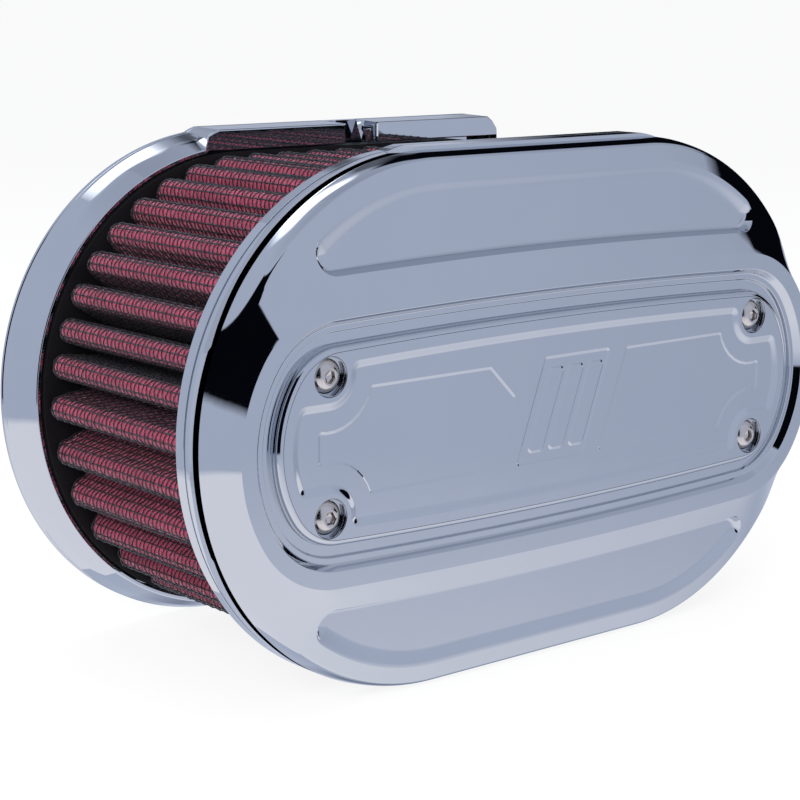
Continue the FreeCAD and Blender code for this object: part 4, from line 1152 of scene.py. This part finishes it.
def make_gauze():
    """Folded gauze sheet with real thickness."""
    path = pleat_path()
    depths = [MEDIA.back + ROUND_OFF * share ** 2 for share in (0.0, 0.3, 0.5, 0.7, 0.85, 1.0)]
    depths += [MEDIA.back + (MEDIA.front - MEDIA.back) * share for share in (0.35, 0.68, 1.0)]
    points, faces = [], []
    count = len(path)
    for depth in depths:
        for grow in (0.0, -GAUZE):
            for point in shifted(path, grow, round_off(depth)):
                points.append((point.x * MM, -depth * MM, point.y * MM))
    last = 2 * len(depths) - 2
    bands = [(line, line + 2, line % 2 == 0) for line in range(last)]
    bands += [(0, 1, False), (last, last + 1, True)]
    for near, far, turned in bands:
        rows = [list(range(line * count, (line + 1) * count)) for line in (near, far)]
        for (a, b), (c, d) in zip(pairs(rows[0]), pairs(rows[1])):
            faces.append([c, d, b, a] if turned else [a, b, d, c])
    return plain_mesh("gauze_pleats", points, faces)


def plain_mesh(name, points, faces):
    mesh = bpy.data.meshes.new(name)
    mesh.from_pydata(points, [], faces)
    mesh.polygons.foreach_set("use_smooth", [True] * len(mesh.polygons))
    mesh.set_sharp_from_angle(angle=SHARP_ANGLE)
    return place_object(name, mesh)


WIRE_R = 0.21
WEAVE = 0.2
CROSS_PITCH = 1.9
LENGTH_PITCH = 2.7
FIRST_CROSS = 0.8
BEND_RISES = (0.0, 0.6, 1.5, 2.7, ROUND_OFF)


def even_points(line, pitch):
    """Points at an even spacing along a closed line."""
    count = len(line)
    lengths = [(there - here).length for here, there in pairs(line)]
    total = sum(lengths)
    number = 2 * int(round(total / pitch))
    step = total / number
    made = []
    index, walked = 0, 0.0
    for item in range(number):
        target = item * step
        while walked + lengths[index] < target:
            walked += lengths[index]
            index += 1
        share = (target - walked) / lengths[index]
        made.append(line[index].lerp(line[(index + 1) % count], share))
    return made


def add_tube(points, faces, line, closed):
    """Square-section wire through a line of (x, depth, z) points."""
    first = len(points)
    count = len(line)
    for index, here in enumerate(line):
        before = line[index - 1] if closed or index else here
        after = line[(index + 1) % count] if closed or index < count - 1 else here
        way = (after - before).normalized()
        side = way.cross(Vector((0.0, 1.0, 0.0)))
        if side.length < 0.3:
            side = way.cross(Vector((1.0, 0.0, 0.0)))
        side.normalize()
        other = way.cross(side)
        for sx, sy in ((1, 0), (0, 1), (-1, 0), (0, -1)):
            spot_at = here + side * (sx * WIRE_R) + other * (sy * WIRE_R)
            points.append((spot_at.x * MM, -spot_at.y * MM, spot_at.z * MM))
    sections = [[first + 4 * index + edge for edge in range(4)] for index in range(count)]
    for near, far in pairs(sections, closed):
        faces += [[a, b, d, c] for (a, b), (c, d) in zip(pairs(near), pairs(far))]
    if not closed:
        faces += [sections[0], sections[-1][::-1]]


def make_screen(name, grow, fine):
    """Woven wire screen folded with the gauze: lengthwise wires and wires across them."""
    path = pleat_path()
    points, faces = [], []
    line = shifted(path, grow)
    knots = even_points(line, LENGTH_PITCH * (1 if fine else 2))
    outward = []
    count = len(knots)
    for index in range(count):
        way = knots[(index + 1) % count] - knots[index - 1]
        outward.append(Vector((way.y, -way.x)).normalized())
    sinks = screen_sinks(path, grow, knots)
    for index in range(0, count, 2):
        wire = []
        for depth in [MEDIA.back + rise for rise in BEND_RISES] + [MEDIA.front]:
            spot_at = knots[index] - sinks[index] * round_off(depth)
            wire.append(Vector((spot_at.x, depth, spot_at.y)))
        add_tube(points, faces, wire, False)
    rows = int((MEDIA.front - MEDIA.back) / CROSS_PITCH)
    for row in range(rows):
        depth = MEDIA.back + FIRST_CROSS + row * CROSS_PITCH
        sink = round_off(depth)
        wire = []
        for index in range(count):
            weave = WEAVE * (1 if (index // 2 + row) % 2 else -1) if index % 2 == 0 else 0.0
            spot_at = knots[index] - sinks[index] * sink + outward[index] * weave
            wire.append(Vector((spot_at.x, depth, spot_at.y)))
        add_tube(points, faces, wire, True)
    return plain_mesh(name, points, faces)


def screen_sinks(path, grow, knots):
    """Direction each knot moves in as the ridges are drawn in at the rear cap."""
    high = shifted(path, grow)
    low = shifted(path, grow, 1.0)
    moves = [a - b for a, b in zip(high, low)]
    count = len(high)
    found = []
    nearest = 0
    for knot in knots:
        best = min(range(nearest, nearest + 12), key=lambda i: (high[i % count] - knot).length)
        nearest = best
        found.append(moves[best % count])
    return found


# ------------------------------------------------------------- materials


class Nodes:
    """Short hand for wiring a material's node tree."""

    def __init__(self, name):
        self.material = bpy.data.materials.new(name)
        self.material.use_nodes = True
        self.tree = self.material.node_tree
        self.surface = self.tree.nodes["Principled BSDF"]
        self.place = self.add("ShaderNodeTexCoord").outputs["Object"]

    def feed(self, socket, value):
        """Link a socket or set a value; a colour is given without its alpha."""
        if isinstance(value, bpy.types.NodeSocket):
            self.tree.links.new(value, socket)
        else:
            socket.default_value = (*value, 1.0) if socket.type == "RGBA" else value

    def add(self, kind, *values, **inputs):
        """New node with its inputs fed in order or by name."""
        node = self.tree.nodes.new(kind)
        for index, value in enumerate(values):
            self.feed(node.inputs[index], value)
        for key, value in inputs.items():
            self.feed(node.inputs[key.replace("_", " ")], value)
        return node

    def set(self, **inputs):
        for key, value in inputs.items():
            self.feed(self.surface.inputs[key.replace("_", " ")], value)

    def maths(self, kind, *values):
        node = self.add("ShaderNodeMath", *values)
        node.operation = kind
        return node.outputs[0]

    def times(self, first, second):
        return self.maths("MULTIPLY", first, second)

    def plus(self, first, second):
        return self.maths("ADD", first, second)

    def lines(self, axis, pitch):
        """Even waves along an axis, with their pitch in millimetres."""
        return self.maths("SINE", self.times(axis, 2 * HALF_TURN / (pitch * MM)))

    def noise(self, scale, detail=3.0):
        node = self.add("ShaderNodeTexNoise", Vector=self.place, Scale=scale, Detail=detail)
        return node.outputs["Fac"]

    def spread(self, value, low, high, out_low, out_high):
        return self.add("ShaderNodeMapRange", value, low, high, out_low, out_high).outputs[0]

    def mix(self, share, first, second):
        node = self.add("ShaderNodeMix")
        node.data_type = "RGBA"
        for index, value in ((0, share), (6, first), (7, second)):
            self.feed(node.inputs[index], value)
        return node.outputs[2]

    def bump(self, height, strength, distance):
        node = self.add("ShaderNodeBump", Height=height, Strength=strength, Distance=distance)
        return node.outputs["Normal"]

    def bump_over(self, height, distance):
        """Finer bump on top of the one that the surface already has."""
        under = self.surface.inputs["Normal"].links[0].from_socket
        node = self.add("ShaderNodeBump", Height=height, Strength=1.0, Distance=distance,
                        Normal=under)
        self.set(Normal=node.outputs["Normal"])

    def axes(self):
        return self.add("ShaderNodeSeparateXYZ", self.place).outputs[:3]


CHROME_TINT = (0.60, 0.63, 0.675)
CHROME_DULL = (0.575, 0.605, 0.655)


def chrome(name):
    """Polished chrome plate: faint buffing haze and a slow ripple from hand polishing."""
    kit = Nodes(name)
    kit.set(Metallic=1.0, Base_Color=kit.mix(kit.noise(60.0), CHROME_TINT, CHROME_DULL),
            Roughness=kit.spread(kit.noise(900.0, 4.0), 0.35, 0.75, 0.015, 0.05),
            Normal=kit.bump(kit.noise(120.0, 2.0), 0.25, 0.00004))
    return kit


def cover_chrome():
    """Chrome with fine cutter lines on the floors of the two scallops."""
    kit = chrome("cover_chrome")
    x, y, z = kit.axes()
    upright = kit.lines(x, 0.65)
    diagonal = kit.lines(kit.plus(kit.times(x, 0.75), kit.times(z, -0.75)), 0.6)
    above = kit.maths("GREATER_THAN", z, 0.0)
    below = kit.maths("SUBTRACT", 1.0, above)
    lines = kit.plus(kit.times(upright, above), kit.times(diagonal, below))
    depth = kit.maths("ABSOLUTE", kit.plus(y, SCALLOP_FLOOR * MM))
    on_floor = kit.spread(depth, 0.1 * MM, 0.5 * MM, 1.0, 0.0)
    off_middle = kit.maths("GREATER_THAN", kit.maths("ABSOLUTE", z), (LIP_HEIGHT + LAND) * MM)
    patchy = kit.spread(kit.noise(25.0), 0.4, 0.62, 0.0, 1.0)
    kit.bump_over(kit.times(lines, kit.times(kit.times(on_floor, off_middle), patchy)), 0.0000009)
    return kit.material


def insert_chrome():
    """Chrome over very fine upright milling lines."""
    kit = chrome("insert_chrome")
    patchy = kit.spread(kit.noise(18.0), 0.45, 0.7, 0.0, 1.0)
    kit.bump_over(kit.times(kit.lines(kit.axes()[0], 0.5), patchy), 0.0000004)
    return kit.material


def mottled(name, metallic, tint, rough, bump):
    """Plain material. Its tint, roughness and fine bump follow noises of (scale, detail).

    tint is (noise, colour, colour), rough is (noise, smooth, dull) and bump is (noise,
    strength, depth).
    """
    kit = Nodes(name)
    tint_noise, first, second = tint
    rough_noise, smooth, dull = rough
    bump_noise, strength, depth = bump
    kit.set(Metallic=metallic, Base_Color=kit.mix(kit.noise(*tint_noise), first, second),
            Roughness=kit.spread(kit.noise(*rough_noise), 0.3, 0.7, smooth, dull),
            Normal=kit.bump(kit.noise(*bump_noise), strength, depth))
    return kit.material


def stainless():
    tint = ((700.0,), (0.60, 0.56, 0.545), (0.70, 0.67, 0.65))
    return mottled("stainless_steel", 1.0, tint, ((2500.0, 2.0), 0.12, 0.24),
                   ((400.0,), 0.3, 0.00002))


def zinc_steel():
    tint = ((500.0, 4.0), (0.50, 0.52, 0.56), (0.66, 0.66, 0.62))
    return mottled("zinc_plated_steel", 1.0, tint, ((500.0, 4.0), 0.25, 0.42),
                   ((1500.0,), 0.4, 0.00002))


def machined():
    """Turned aluminium with fine rings round the front-to-back axis."""
    kit = Nodes("machined_aluminium")
    kit.set(Metallic=1.0,
            Base_Color=kit.mix(kit.noise(200.0), (0.66, 0.67, 0.69), (0.76, 0.77, 0.78)),
            Roughness=kit.spread(kit.noise(900.0), 0.3, 0.7, 0.22, 0.36),
            Normal=kit.bump(kit.lines(kit.axes()[1], 0.4), 0.6, 0.000008))
    return kit.material


def gauze():
    """Oiled cotton gauze: crimson threads, fuzzy, lighter where the oil is thin, with a painted highlight
    on the lighter threads of the weave.
    """
    kit = Nodes("oiled_gauze")
    along = kit.lines(kit.axes()[1], 0.55)
    weave = kit.plus(kit.times(along, 0.3), kit.noise(3200.0, 2.0))
    soaked = kit.spread(kit.noise(90.0, 4.0), 0.35, 0.7, 0.0, 1.0)
    base = kit.mix(soaked, (0.155, 0.007, 0.030), (0.29, 0.024, 0.066))
    # Lighter pink along the weave: partly the weave's own pattern, partly a painted highlight on the
    # threads.
    tint = kit.mix(kit.spread(weave, 0.35, 1.0, 0.0, 0.6), base, (0.62, 0.15, 0.25))
    kit.set(Base_Color=tint, Roughness=0.62, Sheen_Weight=0.35, Sheen_Roughness=0.4,
            Sheen_Tint=(0.95, 0.55, 0.68), Specular_IOR_Level=0.45,
            Normal=kit.bump(weave, 0.7, 0.00018))
    return kit.material


def wire():
    """Epoxy-coated wire, dark grey with worn lighter spots."""
    kit = Nodes("coated_wire")
    worn = kit.spread(kit.noise(1400.0, 3.0), 0.5, 0.75, 0.0, 1.0)
    kit.set(Metallic=0.6, Base_Color=kit.mix(worn, (0.035, 0.036, 0.042), (0.13, 0.135, 0.155)),
            Roughness=kit.spread(worn, 0.0, 1.0, 0.32, 0.5),
            Normal=kit.bump(kit.noise(6000.0), 0.4, 0.00003))
    return kit.material


def urethane():
    """Moulded urethane: satin black with tiny pores."""
    kit = Nodes("moulded_urethane")
    pores = kit.add("ShaderNodeTexVoronoi", Vector=kit.place, Scale=900.0)
    pore = kit.spread(pores.outputs["Distance"], 0.0, 0.35, 0.0, 1.0)
    kit.set(Base_Color=kit.mix(kit.noise(70.0), (0.003, 0.003, 0.0035), (0.008, 0.008, 0.009)),
            Roughness=kit.spread(kit.noise(300.0), 0.3, 0.7, 0.42, 0.6),
            Specular_IOR_Level=0.22, Normal=kit.bump(pore, 0.35, 0.00008))
    return kit.material


def seal_rubber():
    tint = ((150.0,), (0.012, 0.012, 0.012), (0.03, 0.029, 0.028))
    return mottled("seal_rubber", 0.0, tint, ((800.0,), 0.6, 0.8), ((2500.0,), 0.4, 0.00004))


# ------------------------------------------------------------- pieces on their bodies


def dress(thing, material, slot, body=None, *nodes):
    """Give a piece its material and body, and hide the CAD nodes it stands for; slot is not used."""
    thing.data.materials.clear()
    thing.data.materials.append(material)
    if body:
        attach(thing, body)
        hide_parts(*nodes)


def make_pieces():
    """Modelled pieces take over the shown CAD nodes; the rest keep their CAD shape."""
    button, screen = stainless(), wire()
    dress(make_cover(), cover_chrome(), "chrome", "cover", "front_cover")
    dress(make_insert(), insert_chrome(), "chrome_plate", "insert", "insert_plate")
    dress(make_backplate(), chrome("backplate_chrome").material, "chrome", "base", "backplate")
    for index, (side, level) in enumerate(CORNERS, start=1):
        piece = make_button("button_screw_%d" % index, side * BUTTON_SPAN, level * BUTTON_RISE,
                            HEXAGON_TURN * index)
        dress(piece, button, "stainless", "screw_%d" % index, "insert_screw_%d" % index)
    dress(make_gauze(), gauze(), "oiled_gauze", "filter", "filter_media")
    dress(make_screen("outer_wire_screen", SCREEN_OFF, True), screen, "wire_screen", "filter", "outer_mesh")
    dress(make_screen("inner_wire_screen", -GAUZE - SCREEN_OFF, False), screen, "wire_screen", "filter",
          "inner_mesh")
    four = range(1, 5)
    kept = [
        (seal_rubber(), "seal_rubber",
         ["rear_gasket", "cover_gasket", "breather_seal_left", "breather_seal_right"]),
        (urethane(), "end_cap_urethane", ["rear_end_cap", "front_end_cap"]),
        (machined(), "machined_aluminium", ["velocity_ring"] + ["post_%d" % i for i in four]),
        (zinc_steel(), "zinc_steel", ["cover_washer_%d" % i for i in four]
         + ["cover_screw_%d" % i for i in four]),
    ]
    for material, slot, nodes in kept:
        for node in nodes:
            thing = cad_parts[node]
            for holder in thing.material_slots:
                holder.material = material


# ------------------------------------------------------------- stage, light and camera


def make_floor():
    """Pale floor under the cleaner. Mirrors see the studio's table in its place."""
    low = CAD_LOW.z
    size = 60.0
    mesh = bpy.data.meshes.new("studio_floor")
    corners = [(-size, -size, low), (size, -size, low), (size, size, low), (-size, size, low)]
    mesh.from_pydata(corners, [], [[0, 1, 2, 3]])
    floor = place_object("studio_floor", mesh)
    floor.visible_glossy = False
    kit = Nodes("studio_floor")
    kit.set(Base_Color=kit.mix(kit.noise(3.0), (0.93, 0.93, 0.94), (0.95, 0.95, 0.955)),
            Roughness=0.9, Specular_IOR_Level=0.0)
    glow = kit.add("ShaderNodeEmission", Strength=1.0, Color=(1.0, 1.0, 1.0))
    soft = kit.add("ShaderNodeMixShader", 0.86, kit.surface.outputs[0], glow.outputs[0])
    kit.feed(kit.tree.nodes["Material Output"].inputs["Surface"], soft.outputs[0])
    mesh.materials.append(kit.material)


class WorldKit(Nodes):
    """The same short hand for the world's node tree, where places are directions.

    Azimuth is measured from the cover's front, positive to the right seen from the front.
    """

    def __init__(self, world):
        world.use_nodes = True
        self.tree = world.node_tree
        self.surface = self.tree.nodes["Background"]
        self.place = self.add("ShaderNodeTexCoord").outputs["Generated"]
        x, y, z = self.axes()
        degrees = 180.0 / HALF_TURN
        self.azimuth = self.times(self.maths("ARCTAN2", x, self.times(y, -1.0)), degrees)
        self.height = self.times(self.maths("ARCSINE", z), degrees)

    def window(self, value, low, high, soft):
        """1 between two values, falling to 0 over a soft edge."""
        rise = self.spread(value, low - soft, low + soft, 0.0, 1.0)
        fall = self.spread(value, high - soft, high + soft, 1.0, 0.0)
        return self.times(rise, fall)

    def patch(self, across, up):
        """Soft-edged patch: across and up are (from, to, softness) in degrees."""
        return self.times(self.window(self.azimuth, *across), self.window(self.height, *up))


PANEL_TINT = (0.55, 0.60, 0.735)
TABLE_TINT = (0.96, 0.96, 1.02)
SHADE_TINT = (0.37, 0.405, 0.505)
DARK_TINT = (0.002, 0.0026, 0.0045)
SHADOW_TINT = (0.235, 0.27, 0.36)
BOX_TINT = (3.2, 3.25, 3.4)


def make_world():
    """Studio seen in the chrome: panels by direction, and a plain pale backdrop behind."""
    world = bpy.data.worlds.new("studio")
    bpy.context.scene.world = world
    kit = WorldKit(world)
    azimuth, height = kit.azimuth, kit.height

    # Big blue-grey panels all round, a little darker straight up and to the right.
    colour = kit.mix(kit.spread(height, 55.0, 78.0, 0.0, 0.55), PANEL_TINT, SHADE_TINT)
    colour = kit.mix(kit.spread(azimuth, 42.0, 62.0, 0.0, 0.55), colour, SHADE_TINT)

    # Pale table: a sharp edge on the left, a slow fade in front.
    edge = kit.spread(height, -19.0, -16.5, 1.0, 0.0)
    fade = kit.plus(kit.spread(height, -21.0, -12.5, 0.6, 0.0),
                    kit.spread(height, -44.0, -20.0, 0.4, 0.0))
    in_front = kit.window(azimuth, -60.0, 100.0, 8.0)
    table = kit.plus(kit.times(fade, in_front),
                     kit.times(edge, kit.maths("SUBTRACT", 1.0, in_front)))
    far_side = kit.mix(kit.spread(azimuth, 46.0, 85.0, 0.0, 1.0), TABLE_TINT, PANEL_TINT)
    colour = kit.mix(table, colour, far_side)

    # Black flag on the left, with a crisp horizon, and a bright strip of table on the right.
    colour = kit.mix(kit.patch((-93.0, -27.0, 1.2), (-11.0, 51.0, 1.0)), colour, DARK_TINT)
    colour = kit.mix(kit.patch((57.0, 110.0, 3.0), (-9.0, -0.5, 0.8)), colour, TABLE_TINT)

    # Black over that strip, under a sloping top edge.
    slope = kit.times(kit.maths("SUBTRACT", azimuth, 57.0), 0.33)
    over = kit.maths("SUBTRACT", height, slope)
    under_slope = kit.times(kit.spread(height, -1.0, 0.5, 0.0, 1.0),
                            kit.spread(over, 14.5, 16.5, 1.0, 0.0))
    dark_right = kit.times(kit.window(azimuth, 57.0, 137.0, 1.5), under_slope)
    colour = kit.mix(dark_right, colour, DARK_TINT)

    # Shadow low on the right, a black patch high on the right and a dim one behind it.
    colour = kit.mix(kit.patch((105.0, 150.0, 6.0), (-64.0, -36.0, 5.0)), colour, SHADOW_TINT)
    colour = kit.mix(kit.patch((100.0, 141.0, 3.0), (30.0, 55.0, 2.0)), colour, DARK_TINT)
    dim = kit.patch((137.0, 152.0, 2.0), (21.0, 47.0, 2.0))
    colour = kit.mix(kit.times(dim, 0.7), colour, DARK_TINT)

    # White box behind and above, with soft ends.
    box = kit.times(kit.spread(kit.maths("ABSOLUTE", azimuth), 148.0, 163.0, 0.0, 1.0),
                    kit.window(height, 52.0, 61.0, 3.0))
    colour = kit.mix(box, colour, BOX_TINT)

    path = kit.add("ShaderNodeLightPath")
    colour = kit.mix(path.outputs["Is Diffuse Ray"], colour, (0.66, 0.67, 0.70))
    colour = kit.mix(path.outputs["Is Camera Ray"], colour, (1.0, 1.0, 1.0))
    kit.set(Color=colour, Strength=1.0)


def add_area(name, place, target, size, power, tint=(1.0, 1.0, 1.0)):
    light = bpy.data.lights.new(name, "AREA")
    light.shape = "RECTANGLE"
    light.size, light.size_y = size
    light.energy = power
    light.color = tint
    thing = place_object(name, light)
    thing.location = place
    thing.rotation_euler = (Vector(target) - Vector(place)).to_track_quat("-Z", "Y").to_euler()
    thing.visible_glossy = False


def make_lights():
    """Soft light on the pleats and the floor; the chrome only sees the studio's panels."""
    middle = (CAD_LOW + CAD_HIGH) / 2
    add_area("left_fill", (-0.7, -0.55, 0.35), middle, (0.5, 0.5), 9.0, (1.0, 0.98, 0.97))
    add_area("top_soft", (0.1, 0.1, 1.0), middle, (1.2, 1.2), 7.0)


CAMERA_TURNS = (-40.33, 11.21, 0.35)
CAMERA_PLACE = (-421.5, -537.9, 120.8)
CAMERA_LENS = 95.76


def make_camera():
    """The viewing angle of the picture: from the left front, slightly above."""
    camera = place_object("camera", bpy.data.cameras.new("camera"))
    bpy.context.scene.camera = camera
    azimuth, elevation, roll = (math.radians(turn) for turn in CAMERA_TURNS)
    camera.location = tuple(value * MM for value in CAMERA_PLACE)
    back = Vector((math.sin(azimuth) * math.cos(elevation),
                   -math.cos(azimuth) * math.cos(elevation), math.sin(elevation)))
    level = (-back).cross(Vector((0.0, 0.0, 1.0))).normalized()
    upright = back.cross(level)
    right = level * math.cos(roll) + upright * math.sin(roll)
    up = upright * math.cos(roll) - level * math.sin(roll)
    camera.rotation_euler = Matrix((right, up, back)).transposed().to_euler()
    camera.data.sensor_width = 36.0
    camera.data.lens = CAMERA_LENS
    camera.data.clip_start = 0.01


def set_colours():
    settings = bpy.context.scene.view_settings
    settings.view_transform = "Standard"
    settings.look = "None"
    settings.exposure = 0.0
    settings.gamma = 1.0


make_pieces()
make_floor()
make_world()
make_lights()
make_camera()
set_colours()
